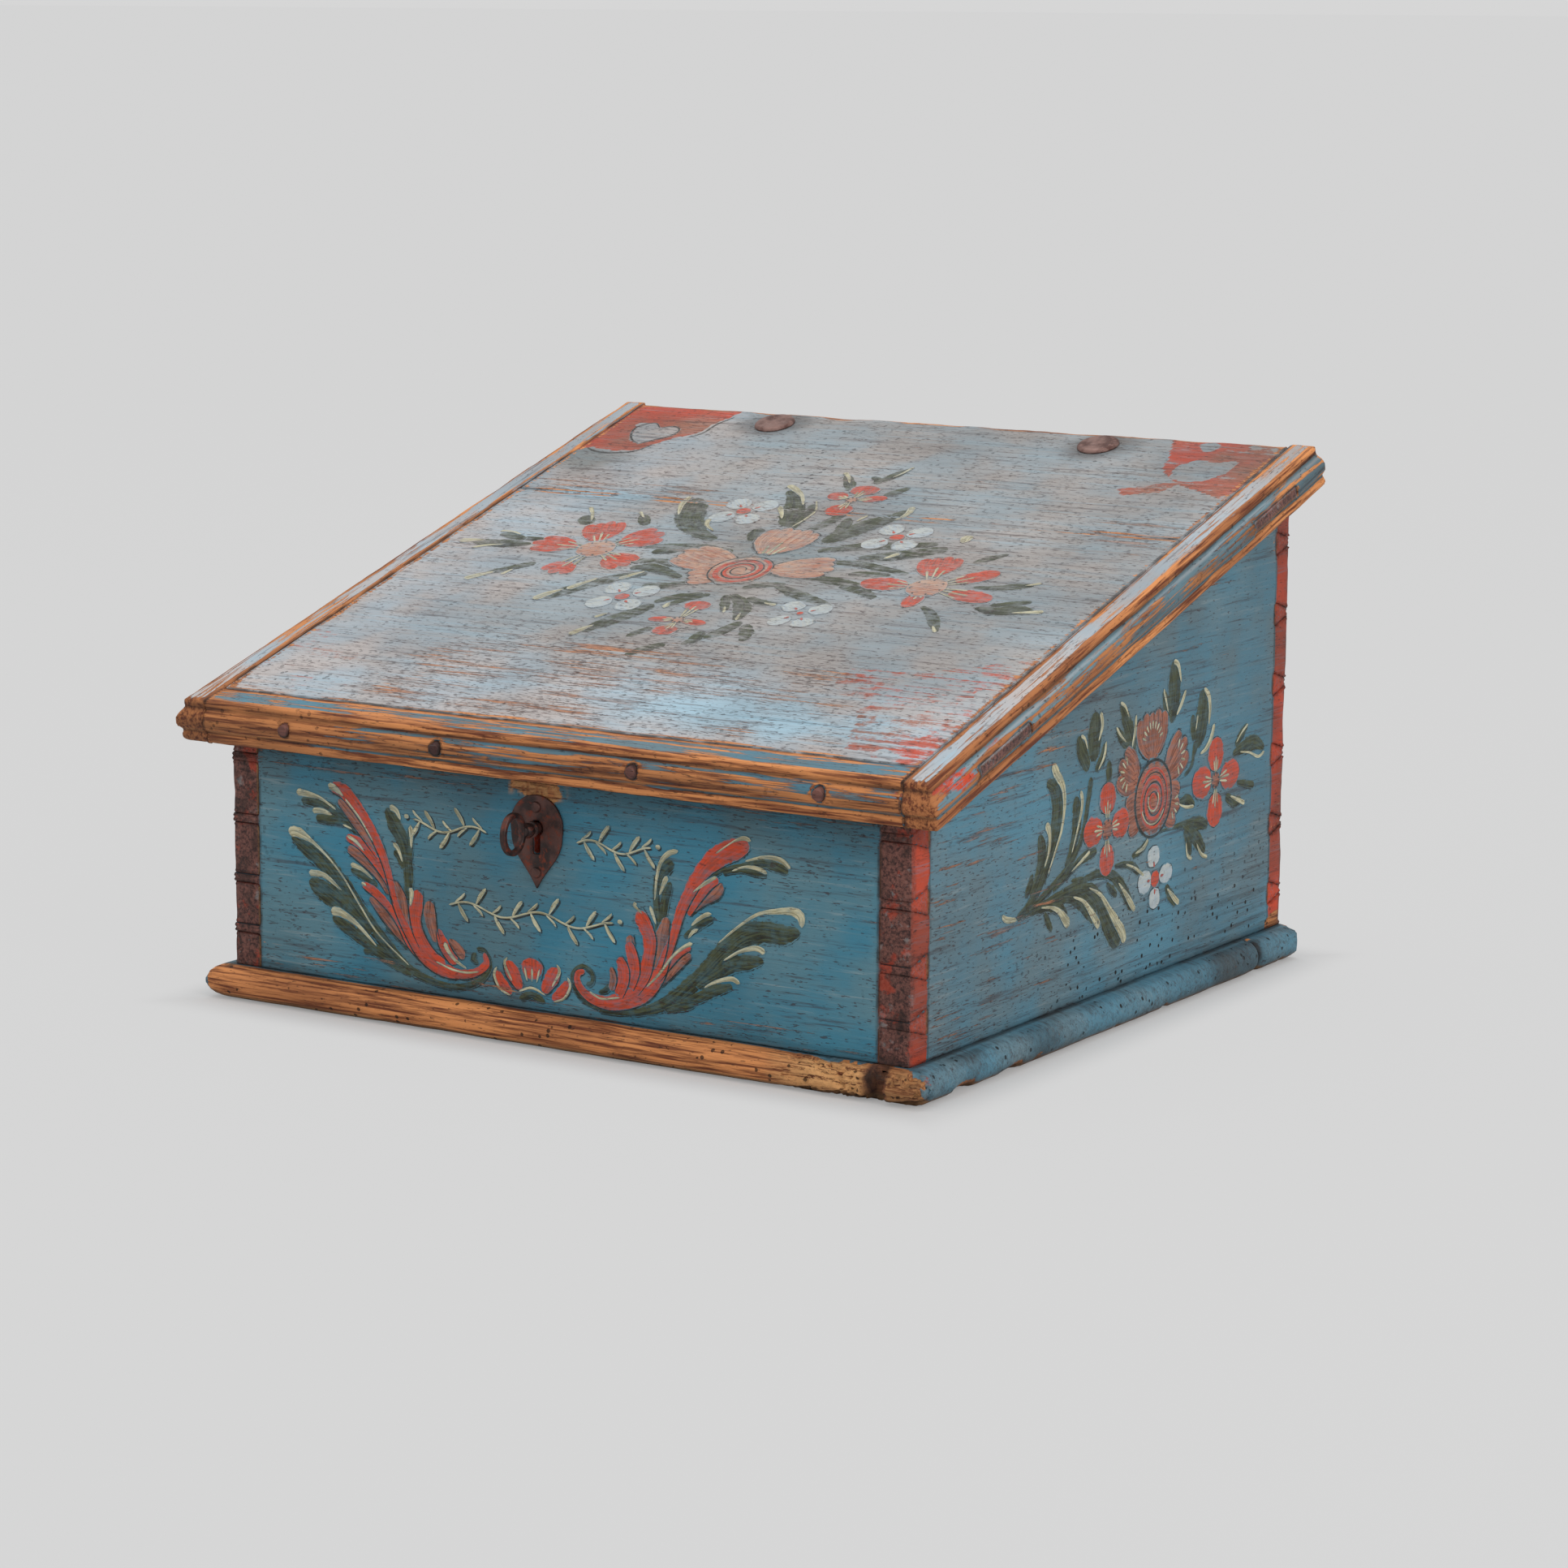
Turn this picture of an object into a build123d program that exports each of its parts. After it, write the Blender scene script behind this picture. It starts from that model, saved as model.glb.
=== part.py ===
"""A slant-top lap desk: a dovetailed case on two bottom planks, a framed lid on iron hinges, and a box lock.

Millimetres. The origin is the middle of the bottom's underside, +X to the right, +Y to the back, +Z up.
On the lid, x is across, u runs up the slope from the case's front face, and v rises from the underside.
"""

import os
from math import cos, radians, sin, tan

from build123d import *

# Case
case_width = 440.0
case_depth = 426.0
front_height = 130.0  # front board's outer face, above the bottom planks
front_thickness = 18.0
side_thickness = 19.0
back_thickness = 18.0
front_pin_shares = (0.162, 0.381, 0.642, 0.908)  # heights of the dovetail pins, as shares of the front height
back_pin_count = 6
back_pin_foot = 21.0  # lowest pin's middle, above the bottom planks
back_pin_head_room = 29.0  # from the highest pin's middle to the board's top, at its inner face
pin_narrow = 4.0
pin_wide = 15.0

# Bottom
bottom_thickness = 19.0
bottom_side_overhang = 13.5
bottom_front_overhang = 11.0
bottom_rear_plank = 50.0
bottom_joint_gap = 1.2
bottom_edge_radius = 9.0
peg_radius = 3.5
peg_in_board = 24.0
front_peg_inset = 55.0  # from the case's sides to the outermost pegs
back_peg_inset = 70.0
side_peg_inset = 93.0  # from the case's front and back

# Lid
lid_slope = 17.1  # degrees
lid_thickness = 25.0
lid_gap = 0.3  # between the lid's underside and the case's top edges
lid_side_overhang = 19.5  # to the top arris
lid_front_overhang = 11.0
lid_back_inset = 3.0
panel_back_inset = 6.3
panel_width = 448.0  # between the two side cleats
front_plank_width = 293.0
front_strip_width = 18.0
tenon_length = 54.0  # along the slope
tenon_low = 8.0
tenon_high = 15.5
front_tenon = 31.0  # where each tenon starts, from the case's front face
rear_tenon = 350.0
strip_pegs = (-167.0, -64.5, 62.0, 176.0)
strip_peg_height = 14.5
strip_peg_depth = 22.0
strip_peg_proud = 0.8

# Lid's moulded edge, outwards from the top arris and down from the top face
arris_radius = 2.2
quirk_top = 4.5
quirk_depth = 1.0
quirk_width = 1.0
nose_out = 5.0
nose_drop = 12.5
nose_flat = 1.2
nose_foot_out = 3.0
nose_foot_drop = 17.0
groove_out = 2.3
groove_drop = 18.4
bead_out = 3.8
bead_foot_out = 2.2

# Hinges
hinge_places = {"left": -114.5, "right": 109.5}
hinge_width = 26.0
hinge_iron = 1.8
strap_length = 132.0
strap_end_width = 15.0
strap_end_radius = 10.0
leaf_length = 78.0
leaf_end_width = 15.0
pin_inset = 3.5  # pin's axis, in from the back face
pin_drop = 5.0  # pin's axis, down from the lid's underside at the back face
pin_radius = 1.75
pin_running_gap = 0.07
knuckle_radius = 3.4
knuckle_length = 8.4
knuckle_gap = 0.4
rivet_from_edge = 19.0
rivet_head_radius = 12.5
rivet_head_height = 2.4
rivet_radius = 3.0
rivet_tail_radius = 4.6
rivet_tail_height = 1.5
nail_radius = 1.2
nail_head_radius = 3.2
nail_head_height = 1.1
strap_nail_depth = 16.0
leaf_nail_depth = 14.0

# Lock, keyhole and key
key_x = -11.0
key_z = 118.5
keyhole_radius = 4.3
keyhole_slot_width = 4.8
keyhole_slot_drop = 14.0
escutcheon_iron = 1.6
escutcheon_half_width = 16.4
escutcheon_rise = 18.0
escutcheon_fall = 33.0
escutcheon_nails = (11.5, -24.0)  # above and below the key's axis
escutcheon_nail_depth = 11.0
lock_half_width = 43.0
lock_top = 151.5
lock_bottom = 105.0
lock_inner_depth = 18.0
lock_iron = 1.5
lock_flange = 11.0
lock_nail_depth = 15.5
lock_foot_nails = (-27.0, 17.0)
bolt_iron = 3.2
bolt_top = 146.5
bolt_bar_height = 7.0
bolt_left = 39.0  # bolt bar's ends, from the key's axis
bolt_right = 26.0
bolt_lobe_half_width = 7.5
key_throw = 60.0  # degrees
talon_clearance = 0.6
talon_left = 3.3
talon_right = 2.4
bolt_clearance = 0.25
guide_width = 5.0
guide_wall = 2.2
guide_places = (-24.5, 19.5)  # from the key's axis
bit_radius = 10.5
bit_iron = 2.6
bit_start = 4.5  # from the front board's inner face
bit_length = 11.5
bit_cleft = 3.0
shank_radius = 3.1
shank_end_gap = 0.4
drill_pin_radius = 1.6
drill_pin_length = 16.0
drill_pin_gap = 0.06
ward_radius = 6.7
ward_iron = 1.0
ward_height = 4.2
ward_gap = 0.5
bow_centre = -22.3  # from the front board's outer face
bow_half_depth = 10.2
bow_half_height = 11.7
bow_bar = 3.2
bow_thickness = 3.8
ball_radius = 4.3
ball_centre = -9.6
collar_radius = 4.5
collar_start = -6.4
collar_length = 1.6
spring_iron = 0.8
spring_width = 3.0
staple_x = 29.5  # from the key's axis
staple_bar = 4.0
staple_iron = 2.2
staple_gap = 6.2
staple_board_gap = 1.0  # between the staple and the front board's top inner edge
staple_plate_length = 30.0
staple_plate_width = 20.0
staple_plate_iron = 1.5
staple_nails = (14.0, 22.0)  # behind the staple's middle

# Places that follow from the driving dimensions
slope = radians(lid_slope)
up_slope = Vector(0, cos(slope), sin(slope))
lid_normal = Vector(0, -sin(slope), cos(slope))
bottom_depth = case_depth + bottom_front_overhang
front_y = bottom_front_overhang - bottom_depth / 2
back_y = front_y + case_depth
inner_y = front_y + front_thickness
half_width = case_width / 2
inner_half_width = half_width - side_thickness
slope_length = case_depth / cos(slope)
lid_front_z = bottom_thickness + front_height
lid_back_z = lid_front_z + case_depth * tan(slope)
lid_origin = Vector(0, front_y, lid_front_z)
lid_back = slope_length - lid_back_inset
panel_back = slope_length - panel_back_inset
arris_x = half_width + lid_side_overhang
strip_back = front_strip_width - lid_front_overhang
plank_joint = strip_back + front_plank_width
pin_y = back_y - pin_inset
pin_z = lid_back_z - pin_drop
pin_u = (pin_y - front_y) * cos(slope) + (pin_z - lid_front_z) * sin(slope)
rivet_u = panel_back - rivet_from_edge
plate_y = inner_y + lock_inner_depth
bolt_bottom = bolt_top - bolt_bar_height
bolt_middle_z = bolt_top - bolt_bar_height / 2
front_inner_top = lid_front_z + front_thickness * tan(slope) - lid_gap / cos(slope)
staple_half = staple_gap / 2 + staple_iron
staple_lean = (front_inner_top - bolt_middle_z) * tan(slope)
bolt_y = inner_y + staple_board_gap + staple_half / cos(slope) + staple_lean
talon_foot_z = key_z + bit_radius * cos(radians(key_throw)) + 0.25
guide_half_height = bolt_bar_height / 2 + guide_wall
staple_middle_x = key_x + staple_x
staple_u = (bolt_y - front_y) * cos(slope) + (bolt_middle_z - lid_front_z) * sin(slope)
staple_v = -(bolt_y - front_y) * sin(slope) + (bolt_middle_z - lid_front_z) * cos(slope)
staple_foot_v = staple_v - (bolt_bar_height * cos(slope) + bolt_iron * sin(slope)) / 2 - 0.6

front_pins = [share * front_height for share in front_pin_shares]
back_inner_top = lid_back_z - back_thickness * tan(slope) - lid_gap / cos(slope) - bottom_thickness
back_pin_pitch = (back_inner_top - back_pin_head_room - back_pin_foot) / (back_pin_count - 1)
back_pins = [back_pin_foot + back_pin_pitch * i for i in range(back_pin_count)]

# Planes
lid_plane = Plane(origin=lid_origin, x_dir=(1, 0, 0), z_dir=lid_normal)
lid_side_plane = Plane(origin=lid_origin, x_dir=up_slope, z_dir=(1, 0, 0))
lid_end_plane = Plane(origin=lid_origin + up_slope * lid_back, x_dir=(1, 0, 0), z_dir=-up_slope)
lid_front_plane = Plane(origin=lid_origin, x_dir=(1, 0, 0), z_dir=-up_slope)
front_plane = Plane.XZ.offset(-front_y)
inner_plane = Plane.XZ.offset(-inner_y)
lock_plate_plane = Plane.XZ.offset(-plate_y)
back_plane = Plane.XZ.offset(-back_y)
key_plane = Plane.YZ.offset(key_x)

# Places of the fixings
four_across = (-1, -1 / 3, 1 / 3, 1)
front_peg_x = half_width - front_peg_inset
back_peg_x = half_width - back_peg_inset
side_peg_x = half_width - side_thickness / 2
side_peg_ys = (front_y + side_peg_inset, (front_y + back_y) / 2, back_y - side_peg_inset)
bottom_pegs_front = [(x * front_peg_x, front_y + front_thickness / 2) for x in four_across]
bottom_pegs_back = [(x * back_peg_x, back_y - back_thickness / 2) for x in four_across]
bottom_pegs_side = [(side_peg_x, y) for y in side_peg_ys]
bottom_pegs_mirrored = [(-x, y) for x, y in bottom_pegs_side]
strap_nails = {side: [(x, pin_u - 62), (x, pin_u - 96)] for side, x in hinge_places.items()}
leaf_nails = {
    side: [(x - 6, pin_z - 20), (x + 6, pin_z - 20), (x, pin_z - 52)] for side, x in hinge_places.items()
}
lock_nails = [(x, lock_bottom - lock_flange / 2) for x in lock_foot_nails]
lock_nails += [(key_x + s * (lock_half_width + lock_flange / 2), lock_top - 14) for s in (-1, 1)]
staple_nail_places = [(staple_middle_x, staple_u + u) for u in staple_nails]
escutcheon_nail_places = [(key_x, key_z + z) for z in escutcheon_nails]


def case_top(y):
    """Height of the case's top edge at y."""
    return lid_front_z + (y - front_y) * tan(slope) - lid_gap / cos(slope)


def case_profile(low_y, high_y):
    """Cross-section of a board between two depths, cut to the slope at its top."""
    with BuildLine() as outline:
        Polyline(
            (low_y, bottom_thickness),
            (high_y, bottom_thickness),
            (high_y, case_top(high_y)),
            (low_y, case_top(low_y)),
            close=True,
        )
    make_face(outline.line)


def dovetail_pins(face_y, inside_y, heights):
    """Cross-sections of the pins, narrow at the outer face and wide inside."""
    for height in heights:
        z = bottom_thickness + height
        with BuildLine() as outline:
            Polyline(
                (face_y, z - pin_narrow / 2),
                (inside_y, z - pin_wide / 2),
                (inside_y, z + pin_wide / 2),
                (face_y, z + pin_narrow / 2),
                close=True,
            )
        make_face(outline.line)


def moulded_edge(at, out):
    """Lines of the lid's moulded edge, from its top face to its underside."""

    def point(outwards, drop):
        return (at + out * outwards, lid_thickness - drop)

    bend = arris_radius * (1 - cos(radians(45)))
    ThreePointArc(point(-arris_radius, 0), point(-bend, bend), point(0, arris_radius))
    Polyline(
        point(0, arris_radius),
        point(0, quirk_top),
        point(-quirk_depth, quirk_top),
        point(-quirk_depth, quirk_top + quirk_width),
    )
    ThreePointArc(point(-quirk_depth, quirk_top + quirk_width), point(3.4, 8.2), point(nose_out, nose_drop))
    Line(point(nose_out, nose_drop), point(nose_out, nose_drop + nose_flat))
    ThreePointArc(
        point(nose_out, nose_drop + nose_flat),
        point(nose_out - 0.5, nose_foot_drop - 1.4),
        point(nose_foot_out, nose_foot_drop),
    )
    Polyline(
        point(nose_foot_out, nose_foot_drop),
        point(groove_out, nose_foot_drop + 0.4),
        point(groove_out, groove_drop),
    )
    ThreePointArc(
        point(groove_out, groove_drop),
        point(bead_out, (groove_drop + lid_thickness) / 2),
        point(bead_foot_out, lid_thickness),
    )


def drill(plane, places, radius, depth):
    """Round holes from a plane, against its normal where depth is negative."""
    with BuildSketch(plane) as holes:
        with Locations(*places):
            Circle(radius)
    extrude(holes.sketch, amount=depth, mode=Mode.SUBTRACT)


def tapered_iron(x, wide_end, narrow_end, wide, narrow, end_radius):
    """Outline of a forged strap that narrows to a round end."""
    way = 1 if narrow_end > wide_end else -1
    with BuildLine() as outline:
        Polyline(
            (x - wide / 2, wide_end),
            (x + wide / 2, wide_end),
            (x + narrow / 2, narrow_end - way * end_radius),
            (x - narrow / 2, narrow_end - way * end_radius),
            close=True,
        )
    make_face(outline.line)
    with Locations((x, narrow_end - way * end_radius)):
        Circle(end_radius)


def keyhole():
    """Outline of the keyhole: round for the shank, with a slot below for the bit."""
    with Locations((key_x, key_z)):
        Circle(keyhole_radius)
    with Locations((key_x, key_z - keyhole_slot_drop / 2)):
        Rectangle(keyhole_slot_width, keyhole_slot_drop)


def save(piece, name):
    """Labels a finished piece and writes its STEP file."""
    piece.part.label = name
    export_step(piece.part, f"parts/{name}.step")
    print(f"{name:24s} {len(piece.part.solids())} solids {piece.part.volume / 1000:9.2f} cm3")


os.makedirs("parts", exist_ok=True)

# ---- Case ----
with BuildPart() as front_board:
    with BuildSketch(Plane.YZ):
        case_profile(front_y, inner_y)
    extrude(amount=inner_half_width, both=True)
    with BuildSketch(Plane.YZ):
        dovetail_pins(front_y, inner_y, front_pins)
    extrude(amount=half_width, both=True)
    with BuildSketch(front_plane):
        keyhole()
    extrude(amount=-front_thickness, mode=Mode.SUBTRACT)
    drill(front_plane, escutcheon_nail_places, nail_radius, -escutcheon_nail_depth)
    drill(inner_plane, lock_nails, nail_radius, lock_nail_depth)
    drill(Plane.XY.offset(bottom_thickness), bottom_pegs_front, peg_radius, peg_in_board)
save(front_board, "front_board")

with BuildPart() as back_board:
    with BuildSketch(Plane.YZ):
        case_profile(back_y - back_thickness, back_y)
    extrude(amount=inner_half_width, both=True)
    fillet(back_board.edges().filter_by(Axis.X).sort_by(Axis.Z)[-1], radius=knuckle_radius)
    with BuildSketch(Plane.YZ):
        dovetail_pins(back_y, back_y - back_thickness, back_pins)
    extrude(amount=half_width, both=True)
    for side, hinge_x in hinge_places.items():
        with BuildSketch(lid_plane.offset(-hinge_iron - knuckle_gap)):
            with Locations((hinge_x, slope_length)):
                Rectangle(hinge_width + 2 * knuckle_gap, 3 * back_thickness)
        extrude(amount=3 * hinge_iron, mode=Mode.SUBTRACT)
        with BuildSketch(Plane.YZ.offset(hinge_x)):
            with Locations((pin_y, pin_z)):
                Circle(knuckle_radius + knuckle_gap)
                Rectangle(2 * knuckle_radius, 2 * pin_drop, align=(Align.CENTER, Align.MIN))
                Rectangle(2 * pin_inset, 2 * pin_drop, align=(Align.MIN, Align.MIN))
        extrude(amount=hinge_width / 2 + knuckle_gap, both=True, mode=Mode.SUBTRACT)
        with BuildSketch(back_plane):
            tapered_iron(hinge_x, pin_z, pin_z - leaf_length, hinge_width, leaf_end_width, leaf_end_width / 2)
        extrude(amount=hinge_iron, mode=Mode.SUBTRACT)
        drill(back_plane, leaf_nails[side], nail_radius, leaf_nail_depth)
    drill(Plane.XY.offset(bottom_thickness), bottom_pegs_back, peg_radius, peg_in_board)
save(back_board, "back_board")

with BuildPart() as right_side_board:
    with BuildSketch(Plane.YZ.offset(inner_half_width)):
        case_profile(front_y, back_y)
    extrude(amount=side_thickness)
    fillet(right_side_board.edges().filter_by(Axis.X).sort_by(Axis.Z)[-1], radius=knuckle_radius)
    with BuildSketch(Plane.YZ.offset(inner_half_width)):
        dovetail_pins(front_y, inner_y, front_pins)
        dovetail_pins(back_y, back_y - back_thickness, back_pins)
    extrude(amount=side_thickness, mode=Mode.SUBTRACT)
    drill(Plane.XY.offset(bottom_thickness), bottom_pegs_side, peg_radius, peg_in_board)
save(right_side_board, "right_side_board")

with BuildPart() as left_side_board:
    mirror(right_side_board.part, about=Plane.YZ)
save(left_side_board, "left_side_board")

# ---- Bottom ----
rear_plank_front = back_y - bottom_rear_plank
front_plank_back = rear_plank_front - bottom_joint_gap
bottom_half_width = half_width + bottom_side_overhang
all_bottom_pegs = bottom_pegs_front + bottom_pegs_back + bottom_pegs_side + bottom_pegs_mirrored

with BuildPart() as bottom_front_plank:
    with BuildSketch(Plane.XY):
        with Locations((0, front_y - bottom_front_overhang)):
            Rectangle(
                2 * bottom_half_width,
                front_plank_back - front_y + bottom_front_overhang,
                align=(Align.CENTER, Align.MIN),
            )
    extrude(amount=bottom_thickness)
    flat_faces = bottom_front_plank.faces().filter_by(Axis.Z)
    rounded = flat_faces.edges().filter_by(lambda e: e.center().Y < front_plank_back - 1)
    fillet(rounded, radius=min(bottom_edge_radius, 0.48 * bottom_thickness))
    drill(Plane.XY, bottom_pegs_front + bottom_pegs_side + bottom_pegs_mirrored, peg_radius, bottom_thickness)
save(bottom_front_plank, "bottom_front_plank")

with BuildPart() as bottom_rear_plank_part:
    with BuildSketch(Plane.XY):
        with Locations((0, rear_plank_front)):
            Rectangle(2 * bottom_half_width, bottom_rear_plank, align=(Align.CENTER, Align.MIN))
    extrude(amount=bottom_thickness)
    ends = bottom_rear_plank_part.faces().filter_by(Axis.X).edges().filter_by(Axis.Y)
    fillet(ends, radius=min(bottom_edge_radius, 0.48 * bottom_thickness))
    drill(Plane.XY, bottom_pegs_back, peg_radius, bottom_thickness)
save(bottom_rear_plank_part, "bottom_rear_plank")

with BuildPart() as bottom_pegs:
    with BuildSketch(Plane.XY):
        with Locations(*all_bottom_pegs):
            Circle(peg_radius)
    extrude(amount=bottom_thickness + peg_in_board)
save(bottom_pegs, "bottom_pegs")

# ---- Lid ----
strip_peg_places = [(x, strip_peg_height) for x in strip_pegs]
tenon_middles = [front_tenon + tenon_length / 2, rear_tenon + tenon_length / 2]

with BuildPart() as lid_blank:
    with BuildSketch(lid_end_plane):
        with BuildLine():
            moulded_edge(arris_x, 1)
            Line((arris_x + bead_foot_out, 0), (-arris_x - bead_foot_out, 0))
            moulded_edge(-arris_x, -1)
            Line((arris_x - arris_radius, lid_thickness), (arris_radius - arris_x, lid_thickness))
        make_face()
    extrude(amount=lid_back + lid_front_overhang + 2 * nose_out)
    with BuildSketch(lid_side_plane):
        with BuildLine():
            moulded_edge(-lid_front_overhang, -1)
            Polyline(
                (-lid_front_overhang - bead_foot_out, 0),
                (lid_back, 0),
                (lid_back, lid_thickness),
                (arris_radius - lid_front_overhang, lid_thickness),
            )
        make_face()
    extrude(amount=arris_x + 2 * nose_out, both=True, mode=Mode.INTERSECT)


def lid_plank(low, high, tenon_middle):
    """Slab of a lid plank with its two tenons, which run out to the cleats' moulded edge."""
    with BuildSketch(lid_plane) as slab:
        with Locations((0, (low + high) / 2)):
            Rectangle(panel_width, high - low)
    extrude(slab.sketch, amount=lid_thickness)
    with BuildSketch(lid_plane.offset(tenon_low)) as tenon:
        with Locations((0, tenon_middle)):
            Rectangle(2 * arris_x + 4 * nose_out, tenon_length)
    extrude(tenon.sketch, amount=tenon_high - tenon_low)
    add(lid_blank.part, mode=Mode.INTERSECT)


with BuildPart() as lid_front_plank:
    lid_plank(strip_back, plank_joint, tenon_middles[0])
    drill(lid_front_plane.offset(-strip_back), strip_peg_places, peg_radius, -(strip_peg_depth - strip_back))
    drill(lid_plane, staple_nail_places, nail_radius, strap_nail_depth)
    for places in strap_nails.values():
        drill(lid_plane, places, nail_radius, strap_nail_depth)
save(lid_front_plank, "lid_front_plank")

with BuildPart() as lid_rear_plank:
    lid_plank(plank_joint, panel_back, tenon_middles[1])
    for side, hinge_x in hinge_places.items():
        drill(lid_plane, [(hinge_x, rivet_u)], rivet_radius, lid_thickness)
        drill(lid_plane, strap_nails[side], nail_radius, strap_nail_depth)
save(lid_rear_plank, "lid_rear_plank")

with BuildPart() as lid_front_strip:
    with BuildSketch(lid_plane):
        with Locations((0, strip_back)):
            Rectangle(panel_width, front_strip_width + 2 * nose_out, align=(Align.CENTER, Align.MAX))
    extrude(amount=lid_thickness)
    add(lid_blank.part, mode=Mode.INTERSECT)
    drill(lid_front_plane.offset(-strip_back), strip_peg_places, peg_radius, front_strip_width + 2 * nose_out)
save(lid_front_strip, "lid_front_strip")

with BuildPart() as lid_strip_pegs:
    with BuildSketch(lid_front_plane.offset(-strip_peg_depth)):
        with Locations(*strip_peg_places):
            Circle(peg_radius)
    extrude(amount=strip_peg_depth + lid_front_overhang + nose_out + strip_peg_proud)
save(lid_strip_pegs, "lid_strip_pegs")

with BuildPart() as lid_right_cleat:
    with BuildSketch(lid_plane):
        with Locations((panel_width / 2, lid_back)):
            Rectangle(case_width, 2 * case_depth, align=(Align.MIN, Align.MAX))
    extrude(amount=lid_thickness)
    add(lid_blank.part, mode=Mode.INTERSECT)
    with BuildSketch(lid_plane.offset(tenon_low)):
        with Locations(*[(panel_width / 2, middle) for middle in tenon_middles]):
            Rectangle(case_width, tenon_length)
    extrude(amount=tenon_high - tenon_low, mode=Mode.SUBTRACT)
save(lid_right_cleat, "lid_right_cleat")

with BuildPart() as lid_left_cleat:
    mirror(lid_right_cleat.part, about=Plane.YZ)
save(lid_left_cleat, "lid_left_cleat")

# ---- Hinges ----
for side, hinge_x in hinge_places.items():
    strap_start = pin_u - knuckle_radius - knuckle_gap

    with BuildPart() as strap:
        with BuildSketch(lid_plane.offset(-hinge_iron)):
            strap_end = strap_start - strap_length
            tapered_iron(hinge_x, strap_start, strap_end, hinge_width, strap_end_width, strap_end_radius)
            with Locations((hinge_x, pin_u)):
                Rectangle(knuckle_length, 3 * knuckle_radius, align=(Align.CENTER, Align.MAX))
        extrude(amount=hinge_iron)
        with BuildSketch(Plane.YZ.offset(hinge_x)):
            with Locations((pin_y, pin_z)):
                Circle(knuckle_radius)
        extrude(amount=knuckle_length / 2, both=True)
        with BuildSketch(Plane.YZ.offset(hinge_x)):
            with Locations((pin_y, pin_z)):
                Circle(pin_radius + pin_running_gap)
        extrude(amount=knuckle_length, both=True, mode=Mode.SUBTRACT)
        drill(lid_plane, [(hinge_x, rivet_u)], rivet_radius, -hinge_iron)
        drill(lid_plane, strap_nails[side], nail_radius, -hinge_iron)
    save(strap, f"hinge_strap_{side}")

    with BuildPart() as leaf:
        with BuildSketch(back_plane):
            tapered_iron(hinge_x, pin_z, pin_z - leaf_length, hinge_width, leaf_end_width, leaf_end_width / 2)
        extrude(amount=hinge_iron)
        with BuildSketch(Plane.YZ.offset(hinge_x)):
            with Locations((pin_y, pin_z)):
                Circle(knuckle_radius)
        extrude(amount=hinge_width / 2, both=True)
        with BuildSketch(Plane.YZ.offset(hinge_x)):
            with Locations((pin_y, pin_z)):
                Circle(knuckle_radius + knuckle_gap)
        extrude(amount=knuckle_length / 2 + knuckle_gap, both=True, mode=Mode.SUBTRACT)
        with BuildSketch(Plane.YZ.offset(hinge_x)):
            with Locations((pin_y, pin_z)):
                Circle(pin_radius)
        extrude(amount=hinge_width, both=True, mode=Mode.SUBTRACT)
        drill(back_plane, leaf_nails[side], nail_radius, hinge_iron)
    save(leaf, f"hinge_leaf_{side}")

    with BuildPart() as pin:
        with BuildSketch(Plane.YZ.offset(hinge_x)):
            with Locations((pin_y, pin_z)):
                Circle(pin_radius)
        extrude(amount=hinge_width / 2, both=True)
    save(pin, f"hinge_pin_{side}")

    with BuildPart() as rivet:
        with BuildSketch(lid_plane.offset(lid_thickness)):
            with Locations((hinge_x, rivet_u)):
                Circle(rivet_head_radius)
        extrude(amount=rivet_head_height)
        fillet(rivet.edges().sort_by(Axis(lid_origin, lid_normal))[-1], radius=0.8 * rivet_head_height)
        with BuildSketch(lid_plane.offset(-hinge_iron)):
            with Locations((hinge_x, rivet_u)):
                Circle(rivet_radius)
        extrude(amount=hinge_iron + lid_thickness)
        with BuildSketch(lid_plane.offset(-hinge_iron)):
            with Locations((hinge_x, rivet_u)):
                Circle(rivet_tail_radius)
        extrude(amount=-rivet_tail_height)
    save(rivet, f"hinge_rivet_{side}")


def nails(plane, places, depth):
    """Nails with a flat head on the plane and a shank driven against its normal."""
    with BuildSketch(plane) as heads:
        with Locations(*places):
            Circle(nail_head_radius)
    extrude(heads.sketch, amount=nail_head_height, taper=30)
    with BuildSketch(plane) as shanks:
        with Locations(*places):
            Circle(nail_radius)
    extrude(shanks.sketch, amount=-depth)


with BuildPart() as hinge_strap_nails:
    strap_underside = Plane(origin=lid_origin - lid_normal * hinge_iron, x_dir=(1, 0, 0), z_dir=-lid_normal)
    strap_places = [(x, -u) for places in strap_nails.values() for x, u in places]
    nails(strap_underside, strap_places, strap_nail_depth + hinge_iron)
save(hinge_strap_nails, "hinge_strap_nails")

with BuildPart() as hinge_leaf_nails:
    outer_plane = Plane(origin=(0, back_y, 0), x_dir=(-1, 0, 0), z_dir=(0, 1, 0))
    nails(outer_plane, [(-x, z) for places in leaf_nails.values() for x, z in places], leaf_nail_depth)
save(hinge_leaf_nails, "hinge_leaf_nails")

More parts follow.
